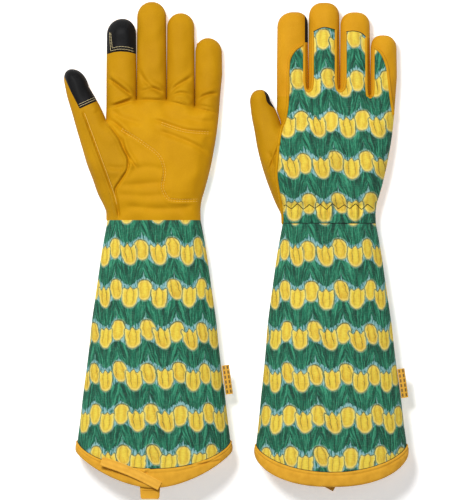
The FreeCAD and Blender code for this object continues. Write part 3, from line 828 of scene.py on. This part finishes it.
THUMB_CREASE = np.array([-46.5, 65.5])
SLIT_LEFT, SLIT_RIGHT = 3.4, (3.6, 4.6, 2.6)  # half the width of the leather at each slit on the back
SLIT_BEND = [(1, 26), (1, 14), (0.94, 6), (0.62, 1.4)]     # share of that half, and mm over the slit's foot
PRINT_EDGE = -38.8                            # where the back's print starts at the wrist


def across(count):
    """Places across a column, closer together at its edges."""
    t = np.linspace(-1, 1, count)
    return 0.72 * np.sin(t * math.pi / 2) + 0.28 * t


def outline_paths(g):
    """The print's border: its thumb side and little-finger side, and its three slits."""
    up = [(PRINT_EDGE, 0), (-38.9, 5), (-40.3, 15.4), (-42.7, 28.6), (-44.2, 40.3), (-43.6, 52), (-42.7, 62),
          (-41.4, 72), (-40.0, 78.4), (-37.4, 85), (-35.4, 95), (-34.4, 111), (-34.2, 128), (-33.0, 138),
          (-29.5, 144), (-21.6, 150)]
    down = [(g.right[2] + SLIT_RIGHT[2], 147.5), (41.9, 144), (45.6, 138.2), (47.9, 131.6), (49.4, 121.6),
            (50.4, 111.6), (51.9, 100), (53.2, 91)]
    slits = []
    for x, crotch, half, top_left, top_right in zip(g.right, g.crotches, SLIT_RIGHT,
                                                    (150, 161.5, 155.4), (160, 160, 147.5)):
        low = crotch - 2.8
        slits.append([(x - SLIT_LEFT, top_left),
                      *((x - SLIT_LEFT * share, low + rise) for share, rise in SLIT_BEND), (x, low),
                      *((x + half * share, low + rise) for share, rise in SLIT_BEND[::-1]),
                      (x + half, top_right)])
    return up, down, slits


def cap_seams(g):
    """Where the tip caps of the middle and ring fingers are sewn to the print."""
    starts, ends = g.right[:2] + SLIT_RIGHT[:2], g.right[1:3] - SLIT_LEFT
    return {"middle": rounded([(starts[0], 160), (-4.6, 163.6), (ends[0], 161.5)], 1.0),
            "ring": rounded([(starts[1], 160), (20.3, 160.6), (27, 158.8), (ends[1], 155.4)], 1.0)}


def print_outline(g):
    """Where the printed cotton of the back ends, clockwise from the wrist's thumb side."""
    up, down, slits = outline_paths(g)
    caps = cap_seams(g)
    slits = [rounded(slit, 1.0) for slit in slits]
    return np.vstack([[(PRINT_EDGE, -14)], rounded(up), slits[0], caps["middle"][1:-1], slits[1],
                      caps["ring"][1:-1], slits[2], rounded(down)[1:], [(64, 80), (64, -14)]])


def hand_columns(g, side):
    """The whole of one side of the hand: four finger columns from the wrist, and the thumb's."""
    step, spread = (0.75, across(43)) if g.sign(side) > 0 else (1.5, across(25))
    found = []
    for k in range(4):
        y = g.rows(k, 0.0, step)
        found.append(dress(g, side, *(np.stack([x, y], 1) for x in g.column(k, y)), spread))
    # thumb: rows from its left edge to the hand's first column, then to its own right edge
    low = np.linspace(0, g.web, int(g.web / step))
    right = np.vstack([np.stack([g.bound(0, low), low], 1), rounded(g.thumb_right, step)[1:]])
    level = THUMB_AXIS @ (g.thumb_right[0] - THUMB_CREASE)
    at_web = np.argmin(np.abs((g.thumb_left - THUMB_CREASE) @ THUMB_AXIS - level))
    left_low = resample(g.thumb_left[:at_web + 1], len(low))
    left_high = resample(g.thumb_left[at_web:], len(right) - len(low) + 1)[1:]
    turn = np.linspace(0, math.pi / 2, 13)[1:]
    left = np.vstack([left_low, left_high, g.thumb_end(math.pi - turn)])
    return found, dress(g, side, left, np.vstack([right, g.thumb_end(turn)]), spread)


PRINT_U, PRINT_V = 20.3, -51                  # which part of the print lies over the back of the hand


def dress(g, side, left, right, spread):
    """The surface of one side between two lines of points (x, y)."""
    points = (left + right)[:, None] / 2 + (right - left)[:, None] / 2 * spread[None, :, None]
    x, y = points[..., 0], points[..., 1]
    v = y + PRINT_V
    made = grid(np.stack([x, y, g.cover(side, x, y), x + PRINT_U + 3.3 * v / 34.5, v], -1))
    return made.flipped(g.sign(side) < 0)


def raised(g, sheet, outline, rise, width):
    """A palm-side sheet, lifted off the glove away from its own outline."""
    sheet.data[:, 2] += g.sign("palm") * rise * smooth(0, width, inside(sheet.x, sheet.y, outline))
    return sheet


PAD_RISE, PAD_EDGE = 0.55, 1.0                # how far the touch pads stand up, and over what width
THUMB_PAD = np.array([(-62.0, 92.9), (-46.0, 100.2), (-38, 103), (-50, 128), (-66, 140), (-84, 134),
                      (-74.6, 118.8), (-69.3, 107)])
INDEX_PAD = np.array([(-50, 139.0), (-39, 139.0), (-34, 140.3), (-28.5, 140.9), (-22, 140.5), (-16.5, 139.2),
                      (-8, 138), (-8, 190), (-50, 190)])
INDEX_STITCHES = np.array([[(-37.6, 156.8), (-36.7, 141.4), (-29.9, 142.7), (-23.0, 142.4), (-17.4, 141.0)],
                           [(-36.6, 156.4), (-35.3, 143.7), (-29.6, 144.9), (-23.0, 144.6), (-17.6, 143.3)]])
PATCH = np.array([(6.2, 79.8), (14, 77), (24.5, 73.9), (36, 72.6), (46.4, 71.8), (45, 62), (42.5, 48),
                  (40, 32), (37, 17.4), (30, 16.8), (18.7, 16.8), (12.9, 18), (8.6, 24.1), (8.4, 36),
                  (8.6, 44), (6.0, 52), (4.6, 62), (4.8, 72)])
SET_IN = np.vstack([[(-70, 100)], rounded(SEAMS["palm"][0][0], 1.5), [(-29.5, -20)]])
CAP_START = {"middle": 159.5, "ring": 155.0}  # y where the fingertip caps of the back begin


def build_hand(g):
    """Every cut piece of one hand by name, and the outlines of its touch pads."""
    parts = {}

    def keep(name, sheet):
        parts.setdefault(name, []).append(sheet)

    def keep_thumb(sheet, name):
        """Beyond its crease the thumb has its own piece, and below it lies the gusset."""
        far = (sheet.data[:, :2] - THUMB_CREASE) @ THUMB_AXIS + 5.0
        for part, target in zip(sheet.cut(far), (name, "gusset")):
            keep(target, part)

    split = g.crotches[0] - 7.0
    index_pad = INDEX_PAD + (g.left[0] + 40.4, g.tips[0] - 168.5)
    thumb_pad = THUMB_PAD + (g.thumb_tip - gloves["left"].thumb_tip)

    # palm side
    columns, thumb = hand_columns(g, "palm")
    arc = rounded([(-60, 92.0), *ARC, (70, 87)], 2.0) + (0, g.crotches[0] - gloves["left"].crotches[0])
    for column, name in zip(columns, FINGERS):
        finger, hand = column.cut(beside(column, arc))
        if name == "index":
            pad, finger = finger.cut(inside(finger.x, finger.y, index_pad))
            keep("index_pad", raised(g, pad, index_pad, PAD_RISE, PAD_EDGE))
        keep(name + "_front", finger)
        hand, gusset = hand.cut(beside(hand, SET_IN))
        patch, hand = hand.cut(inside(hand.x, hand.y, PATCH))
        keep("patch", raised(g, patch, PATCH, 1.0, 7.0))
        keep("palm", hand)
        keep_thumb(gusset, "thumb_front")
    pad, thumb = thumb.cut(inside(thumb.x, thumb.y, thumb_pad))
    keep("thumb_pad", raised(g, pad, thumb_pad, PAD_RISE, PAD_EDGE))
    keep_thumb(thumb, "thumb_front")

    # back side
    columns, thumb = hand_columns(g, "back")
    outline = print_outline(g)
    for column, name in zip(columns, FINGERS):
        cloth, gold = column.cut(inside(column.x, column.y, outline))
        finger, hand = cloth.cut(cloth.y - split)
        keep(name + "_back", finger)
        keep("back", hand)
        finger, hand = gold.cut(gold.y - split)
        keep("palm", hand)
        if name in CAP_START:
            cap, finger = finger.cut(finger.y - CAP_START[name])
            keep(name + "_cap", cap)
        if name == "index":
            low_x, low_y = g.right[0] - 3.0, index_pad[0, 1] + 3.9
            pad, finger = finger.cut(np.minimum(finger.x - low_x, finger.y - low_y))
            keep("index_pad", pad)
        keep(name + "_side", finger)
    cloth, gold = thumb.cut(inside(thumb.x, thumb.y, outline))
    keep("back", cloth)
    # the pad wraps round the thumb's edge as a sliver that narrows at both ends
    edge = to_path(gold.x, gold.y, np.vstack([g.thumb_right[:-1], g.thumb_round()[:50]]))[0]
    near_tip = (gold.data[:, :2] - g.thumb_tip) @ THUMB_AXIS
    sliver = 3.3 * np.sin(np.clip((near_tip + 19.5) / 17, 0, 1) * math.pi) ** 0.7 - 0.12
    pad, gold = gold.cut(sliver - edge)
    keep("thumb_pad", pad)
    keep_thumb(gold, "thumb_back")

    # a narrow rolled edge where the leather meets the print
    up, down, slits = outline_paths(g)
    for path, left_name, right_name in ((up, "index", "index"), (down, "little", "little"),
                                        *zip(slits, FINGERS, FINGERS[1:])):
        path = rounded(path, 0.7)
        cord = thread(g, "back", path, 0.12, 0.55, around=8)
        finger, hand = cord.cut(cord.y - split)
        keep("rims" if left_name != right_name else "palm", hand)
        right, left = finger.cut(finger.x - (path[0, 0] + path[-1, 0]) / 2)
        keep(left_name + "_side", left)
        keep(right_name + "_side", right)
    return {name: joined(sheets) for name, sheets in parts.items()}, index_pad, thumb_pad


def beside(sheet, path):
    """Distance of a sheet's vertices from a path, positive to the left of its direction."""
    d, s, _ = to_path(sheet.x, sheet.y, path)
    return d * s


def thread(g, side, path, lift, radius, around=6):
    """A cord on one side of the glove along path (x, y), with its middle lift away from the surface."""
    path = np.asarray(path, float)
    z = g.cover(side, path[:, 0], path[:, 1]) + g.sign(side) * lift
    return tube(np.column_stack([path, z]), radius, around)


# ---------------------------------------------------------------- cuffs

# the cuff's y runs down from 0 at the wrist seam
CUFF_FLAT = {"left": (9.7, 23.7), "right": (17.0, 22.0)}   # which part of the print lies on each cuff


def cuff_half(y):
    return through([0, 24, 45, 66, 86, 107, 148, 169, 184, 230],
                   [WRIST_RIGHT, 43.3, 46.3, 49.3, 52.1, 54.2, 59.4, 61.8, 63.6, 65.8], -y)


def cuff_bulge(y):
    return through([0, 50, 110, 184, 230], [12.2, 15.4, 18.6, 22.2, 23.0], -y)


def cuff_point(g, side, s, y, offset=0.0):
    """A point of the cuff: s runs from -1 at the thumb side to 1, and offset leads outwards."""
    s, y = np.broadcast_arrays(np.asarray(s, float), np.asarray(y, float))
    half, full = cuff_half(y), cuff_bulge(y)
    radius = half * (0.50 + 0.45 * smooth(0, 60, -y))
    d = np.minimum((1 - np.abs(s)) * half / radius, 1)
    up = g.sign(side) > 0
    profile = section(d, up)
    drift = 0.0 if g.name == "left" else smooth(-50, -190, y)
    x = s * (half + offset - drift) + 1.6 * drift
    # gathers under the wrist that die away, and slow lengthwise waves
    fold = np.sin(s * 27 + 2.0 * np.sin(s * 5 + y * 0.02)) * np.exp(y / 15.0) * smooth(0, 4, -y)
    fold = fold * (0.8 if side == "back" else 0.4)
    fold = fold + ripple(x, y * 0.35, 26, 21 if side == "palm" else 22) * 0.55 + ripple(x, y, 11, 23) * 0.12
    rise = fold * smooth(0, 0.5, d)
    middle = full + 0.8
    if up:
        z = middle + (full + offset) * profile + rise
    else:
        z = np.maximum(middle - (full + offset) * profile + 0.25 * rise, 0.3 + 0.15 * (offset < 0))
    return np.stack([x, y, z], -1)


def hem_line(s):
    """y where the cuff's cloth ends and its tape begins."""
    return -184 - 23 * np.clip(1 - s * s, 0, 1) ** 0.65


def edge_line(g, s):
    """y of the cuff's mouth, where the tape folds over."""
    start, reach, power, root = (-193.2, 29.3, 1.75, 0.86) if g.name == "left" else (-192, 26.6, 2.3, 0.6)
    return start - reach * np.clip(1 - np.abs(s) ** power, 0, 1) ** root


def cuff_panel(g, side, rows=92, columns=64, start=0.0, offset=0.0, past_hem=0.0):
    """One side of the cuff's cloth, from y = start to past_hem beyond the hem line."""
    s = np.sin(np.linspace(-math.pi / 2, math.pi / 2, columns))
    y = start + np.linspace(0, 1, rows)[:, None] * (hem_line(s) - past_hem - start)
    p = cuff_point(g, side, s, y, offset)
    u = np.zeros(y.shape)
    u[:, 1:] = np.cumsum(np.hypot(np.diff(p[..., 0]), np.diff(p[..., 2])), axis=1)
    middle = columns // 2
    u -= (u[:, middle] - p[:, middle, 0])[:, None]
    u += 5.0 * s * smooth(0.5, 1.0, np.abs(s))            # the cloth is gathered towards its side seams
    flat_u, flat_v = CUFF_FLAT[g.name]
    flat = np.stack([u + flat_u + 0.055 * (y + 22), y + flat_v], -1)
    return grid(np.concatenate([p, flat], -1)).flipped(g.sign(side) > 0)


def hem_relief(g, side, x, y):
    """The crease and the two needle holes that the strap's pull makes in the left glove's tape."""
    if g.name != "left" or side != "palm":
        return np.zeros(x.shape)
    d, s, _ = to_path(x, y, rounded([(-7, -210), (-1.2, -206.2), (18, -204), (40, -202.5), (54, -200)], 2.0))
    rise = 0.5 * hump(d - 1.5, 1.2) * smooth(-1, 1, d * s) - 0.9 * hump(d, 0.8)
    for hole_x, hole_y in ((-6.4, -210.4), (1.2, -217.0)):
        rise = rise - 0.9 * hump(np.hypot(x - hole_x, (y - hole_y) * 1.4), 1.1)
    return rise


# the folded tape's section, from the hem's outside over the edge to its inside: share of the way from the
# hem to the edge, mm back from there, and mm out from the cloth
TAPE = [(0, 0.9, 0.15), (0, 0.1, 0.95), (0.05, 0, 1.35), (0.11, 0, 1.35), (0.17, 0, 0.9), (0.22, 0, 0.9),
        (0.28, 0, 1.3), (0.36, 0, 1.5), (0.44, 0, 1.5), (0.52, 0, 1.5), (0.6, 0, 1.5), (0.68, 0, 1.45),
        (0.76, 0, 1.4), (0.84, 0, 1.3), (0.92, 0, 1.0), (0.985, 0, 0.3), (1.0, 0, -0.5), (0.97, 0, -1.3),
        (0.8, 0, -1.8), (0.5, 0, -1.9), (0.2, 0, -1.8), (0, 2.0, -1.6)]
TAPE_WIDTH = 14


def binding(g):
    """The folded tape around the mouth: outside, over the edge and up inside."""
    halves = []
    for side in SIDES:
        s = across(120)
        hem, edge = hem_line(s), edge_line(g, s)
        rows = []
        for share, back, offset in TAPE:
            p = cuff_point(g, side, s, hem + back + share * (edge - hem), offset)
            x, y = p[:, 0], p[:, 1]
            if offset > 0:
                p[:, 2] += g.sign(side) * (0.22 * ripple(x, y, 9, 31) + hem_relief(g, side, x, y))
            rows.append(np.column_stack([p, x, np.full(len(s), share * TAPE_WIDTH + back)]))
        halves.append(grid(np.stack(rows)).flipped(g.sign(side) > 0))
    return joined(halves)


def node_box(g, node):
    """The low and high corners of a CAD node in the glove's own frame."""
    return [np.array(corner) / MM - g.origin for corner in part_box(f"{g.name}_{node}")]


def strap(g):
    """The narrow strap across the hem, from the thumb side of the cuff down to the loop."""
    low, high = node_box(g, "cuff_strap")
    t = np.linspace(0, 1, 40)
    x = low[0] + 2.2 + t * (high[0] - low[0] - 4.0)
    y = high[1] - 4.4 - t * (high[1] - low[1] - 8.4) + 1.6 * np.sin(t * math.pi)
    z = np.full(len(t), (low[2] + high[2]) / 2)
    if g.name == "left":
        z += 0.5 * np.sin(t * math.pi) - 0.5 * smooth(0.85, 1, t)
    return ribbon(np.stack([x, y, z], 1), 7.8 - 1.2 * smooth(0.06, 0, t), high[2] - low[2] - 0.3, rib=0.25)


def keeper(g):
    """The folded loop that the strap goes through, with a row of thread across it."""
    low, high = node_box(g, "strap_keeper")
    x, y, z = (low + high) / 2
    t = np.linspace(0, 1, 26)
    line = np.stack([np.full(len(t), x), high[1] + (low[1] - high[1]) * t, z + 0.35 * np.sin(t * TURN)], 1)
    widths = (high[0] - low[0]) * (1 - 0.14 * t) - 1.4 * smooth(0.9, 1.0, t)
    row = [(x - 6.5, y - 1.5, high[2] + 0.05), (x + 6.5, y - 1.5, high[2] + 0.05)]
    return joined([ribbon(line, widths, high[2] - low[2] - 0.2, rib=0.1), tube(row, 0.35)])


def tag(g):
    """The folded woven tag in the side seam, slightly bowed."""
    low, high = node_box(g, "side_tag")
    x, y, z = (low + high) / 2 + (1.0, -2.2, 0)
    turn = math.radians(8)
    t = np.linspace(-1, 1, 26)
    along = 12.2 * t
    bow = 0.35 * np.cos(t * 2.2)
    line = np.column_stack([x + math.sin(turn) * along, y - math.cos(turn) * along, z + bow])
    return ribbon(line, np.full(len(t), high[0] - low[0] - 3.4), 1.1, crown=0.5)


# ---------------------------------------------------------------- putting it together

SHARP = math.radians(38)


def piece(g, name, sheet, material, solid=WALL):
    """A Blender object from a sheet in the glove's own frame."""
    full = f"{g.name}_{name}"
    mesh = bpy.data.meshes.new(full)
    mesh.from_pydata([tuple(p) for p in g.world(sheet.data)], [], sheet.faces)
    layer = mesh.uv_layers.new(name="flat")
    loops = np.zeros(len(mesh.loops), int)
    mesh.loops.foreach_get("vertex_index", loops)
    layer.data.foreach_set("uv", (sheet.data[loops, 3:5] / CLOTH_UNIT).ravel())
    mesh.materials.append(material)
    made = bpy.data.objects.new(full, mesh)
    bpy.context.scene.collection.objects.link(made)
    if solid:
        thick = made.modifiers.new("wall", "SOLIDIFY")
        thick.thickness, thick.offset = solid * MM, -1.0
        bpy.context.view_layer.update()
        done = made.evaluated_get(bpy.context.evaluated_depsgraph_get())
        made.data = bpy.data.meshes.new_from_object(done)
        made.modifiers.clear()
        made.data.name = full
    made.data.polygons.foreach_set("use_smooth", [True] * len(made.data.polygons))
    made.data.set_sharp_from_angle(angle=SHARP)
    return made


PAD_STITCH = dict(lift=0.7, pitch=2.6, dash=2.4)
SEAM_STITCH = dict(lift=0.12, pitch=2.3, dash=1.65)


def stitches(g, path, lift, pitch, dash):
    """A run of separate stitches that lie on the palm side along path."""
    path = rounded(path, 0.4)
    length = travelled(path)[-1]
    count = max(1, round(length / pitch))
    at = np.arange(count)[:, None] * (length / count) + np.linspace(0, dash, 4)
    x, y = points_at(path, at.ravel()).T
    dip = np.tile([-0.14, 0.1, 0.1, -0.14], count)
    z = g.cover("palm", x, y) + g.sign("palm") * (lift + dip)
    points = np.stack([x, y, z], -1).reshape(count, 4, 3)
    return [tube(p, 0.15, ends=0.6) for p in points]


def index_stitches(g, index_pad):
    """Two rows that turn the corner of the index finger's touch pad."""
    runs = []
    for down, corner, *along in INDEX_STITCHES + (index_pad[0] - INDEX_PAD[0]):
        runs += stitches(g, [down, corner], **PAD_STITCH) + stitches(g, [corner, *along], **PAD_STITCH)
    return joined(runs)


def thumb_stitches(g, thumb_pad):
    """Two rows inside the lower edge of the thumb's touch pad."""
    over = thumb_pad[1] - thumb_pad[0]
    over /= np.hypot(*over)
    runs = []
    for inset in (1.8, 3.6):
        start = thumb_pad[0] + THUMB_AXIS * inset + over * 0.5
        runs += stitches(g, [start, start + over * 14.6], **PAD_STITCH)
    return joined(runs)


def palm_stitches(g):
    """Twin rows along the seam that bounds the patch, and along the patch's upper edge."""
    runs = []
    for offset in (-0.9, 0.9):
        for path in (SEAMS["palm"][2][0], [(6.2, 80.5), (24.5, 74.6), (46.1, 72.6)]):
            runs += stitches(g, shifted(path, offset), **SEAM_STITCH)
    return joined(runs)


def thumb_seam_highlight(g):
    """A cord along the long thumb seam's turned edge, in the light gold thread colour: the cord stands for
    the turned edge, and its light colour is painted highlight.
    """
    line = shifted(SEAMS["palm"][1][0], 0.9)
    return thread(g, "palm", line[line[:, 1] > 12][4:], -0.02, 0.2)


def elastic_thread(g):
    """The elastic's zigzag across the back of the wrist, and the wrist seam's thread under it."""
    x = np.arange(-38.0, 37.0, 0.45)
    zigzag = np.arcsin(np.sin(x * TURN / PLEAT)) / (math.pi / 2)
    zigzag = np.stack([x, 14.2 + 2.0 * zigzag + 0.5 * np.sin(x * 0.4)], 1)
    x = np.linspace(-37.5, 37.5, 90)
    seam = np.stack([x, np.full(len(x), 0.3)], 1)
    return joined([thread(g, "back", zigzag, 0.18, 0.3), thread(g, "back", seam, 0.05, 0.32)])


def hem_thread(g):
    """The thread along the tape's upper edge, on both sides."""
    s = np.sin(np.linspace(-math.pi / 2, math.pi / 2, 120)) * 0.998
    return joined([tube(cuff_point(g, side, s, hem_line(s) + 0.75, 0.25), 0.28) for side in SIDES])


def cuff_lining(g):
    panels = [cuff_panel(g, side, 40, 48, start=-4.0, offset=-1.6, past_hem=2) for side in SIDES]
    return joined(panels).flipped()


def make_glove(g):
    """Every piece of one glove, each held by one body, or left unparented where a bend between two bodies is
    given.
    """
    parts, index_pad, thumb_pad = build_hand(g)

    def own(name):
        return f"{g.name}_{name}"

    def bend(low, high, start, end):
        return own(low), own(high), g.spot(*start), g.spot(*end)

    def add(name, sheet, material, held, node=None, solid=WALL):
        """One piece; held names its body, or is a bend whose bodies and points are not used, and node is the
        CAD node that it replaces.
        """
        made = piece(g, name, sheet, material, solid)
        if isinstance(held, str):
            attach(made, own(held))
        else:
            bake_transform(made)
        if node:
            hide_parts(own(node))
        return made

    wrist = bend("cuff", "hand", (0, 1, 13), (0, 11, 13))
    thumb = bend("hand", "thumb", *((*(THUMB_CREASE + THUMB_AXIS * far), 12) for far in (15.0, 31.0)))

    # hand
    add("palm_leather", parts["palm"], PALM, wrist, "palm_panel")
    made = add("back_cloth", parts["back"], PRINT, wrist, "back_panel")
    add("thumb_gusset_leather", parts["gusset"], THUMB, wrist, "thumb_gusset")
    made = add("padded_patch", parts["patch"], PALM, "hand", "palm_patch")

    # fingers
    for name, left, right in zip(FINGERS, g.left, g.right):
        x, crotch = (left + right) / 2, g.crotches[0]
        finger = bend("hand", name, (x, crotch, 10), (x, crotch + 12, 10))
        for part, cloth, material, slot, node in (("front", "leather", FRONT, "finger_leather", "front"),
                                                  ("back", "cloth", PRINT, "print_cotton", "back"),
                                                  ("side", "leather", GOLD, "finger_leather", "fourchette")):
            add(f"{name}_{part}_{cloth}", parts[f"{name}_{part}"], material, finger, f"{name}_{node}")
        if name in CAP_START:
            add(name + "_cap_leather", parts[name + "_cap"], GOLD, name, name + "_tip_cap")
    add("index_pad_leather", parts["index_pad"], BLACK, "index", "index_touch_pad")

    # thumb
    add("thumb_front_leather", parts["thumb_front"], THUMB, thumb, "thumb_front")
    add("thumb_back_leather", parts["thumb_back"], THUMB, thumb, "thumb_back")
    add("thumb_pad_leather", parts["thumb_pad"], BLACK, "thumb", "thumb_touch_pad")

    # stitching and thin cords
    add("index_stitches", index_stitches(g, index_pad), PALE_THREAD, "index", solid=0)
    add("thumb_stitches", thumb_stitches(g, thumb_pad), PALE_THREAD, "thumb", solid=0)
    add("palm_stitches", palm_stitches(g), THREAD, "hand", solid=0)
    # the light cord along the thumb seam is painted highlight on its turned edge
    add("thumb_seam_highlight", thumb_seam_highlight(g), THREAD, thumb, solid=0)
    add("elastic_thread", elastic_thread(g), DARK_THREAD, wrist, "wrist_elastic", solid=0)
    add("slit_rims", parts["rims"], GOLD, "hand", "finger_creases", solid=0)
    for name, path in cap_seams(g).items():
        add(name + "_cap_thread", thread(g, "back", path, 0.1, 0.32), DARK_THREAD, name, solid=0)

    # cuff
    for side in SIDES:
        panel = cuff_panel(g, side)
        made = add(f"cuff_{side}_cloth", panel, PRINT, "cuff", f"cuff_{side}_panel")
    made = add("cuff_lining", cuff_lining(g), LINING, "cuff", solid=0.4)
    add("hem_thread", hem_thread(g), DARK_THREAD, "cuff", solid=0)
    add("hem_tape", binding(g), BINDING, "cuff", "hem_binding", solid=0)
    add("hem_strap", strap(g), WEBBING, "strap", "cuff_strap", solid=0)
    add("strap_loop", keeper(g), BINDING, "cuff", "strap_keeper", solid=0)
    add("seam_tag", tag(g), TAG, "cuff", "side_tag", solid=0)


for glove in gloves.values():
    make_glove(glove)

# ---------------------------------------------------------------- stage

GROUND, GROUND_Z = 9, -0.0004                 # metres to each side, and its height


def ground():
    mesh = bpy.data.meshes.new("ground")
    corners = ((-1, -1), (1, -1), (1, 1), (-1, 1))
    mesh.from_pydata([(x * GROUND, y * GROUND, GROUND_Z) for x, y in corners], [], [(0, 1, 2, 3)])
    p = Paint("ground_paper", Roughness=0.9, Emission_Color=(255, 255, 255), Emission_Strength=0.4)
    p.set(Base_Color=p.mix(p.noise(p.place(), 3.0), (250, 250, 250), (254, 254, 254)))
    mesh.materials.append(p.material)
    made = bpy.data.objects.new("ground", mesh)
    bpy.context.scene.collection.objects.link(made)


def area_light(name, place, size, power):
    light = bpy.data.lights.new(name, "AREA")
    light.shape, light.size, light.energy = "DISK", size, power
    made = bpy.data.objects.new(name, light)
    made.location = place
    made.rotation_euler = (-Vector(place)).to_track_quat("-Z", "Y").to_euler()
    bpy.context.scene.collection.objects.link(made)


ground()
area_light("key", (-0.4, 0.62, 1.55), 0.5, 29)
area_light("fill", (0.4, -0.1, 1.8), 1.0, 5)
world = bpy.data.worlds.new("soft_white")
world.use_nodes = True
world.node_tree.nodes["Background"].inputs["Color"].default_value = (1, 1, 1, 1)
world.node_tree.nodes["Background"].inputs["Strength"].default_value = 0.12
bpy.context.scene.world = world
bpy.context.scene.view_settings.view_transform = "Standard"

camera = bpy.data.cameras.new("camera")
camera.sensor_width, camera.lens = 36.0, 430.0
eye = bpy.data.objects.new("camera", camera)
eye.location = (0.0033, 0.0003, 5.0)
bpy.context.scene.collection.objects.link(eye)
bpy.context.scene.camera = eye

bpy.context.view_layer.update()
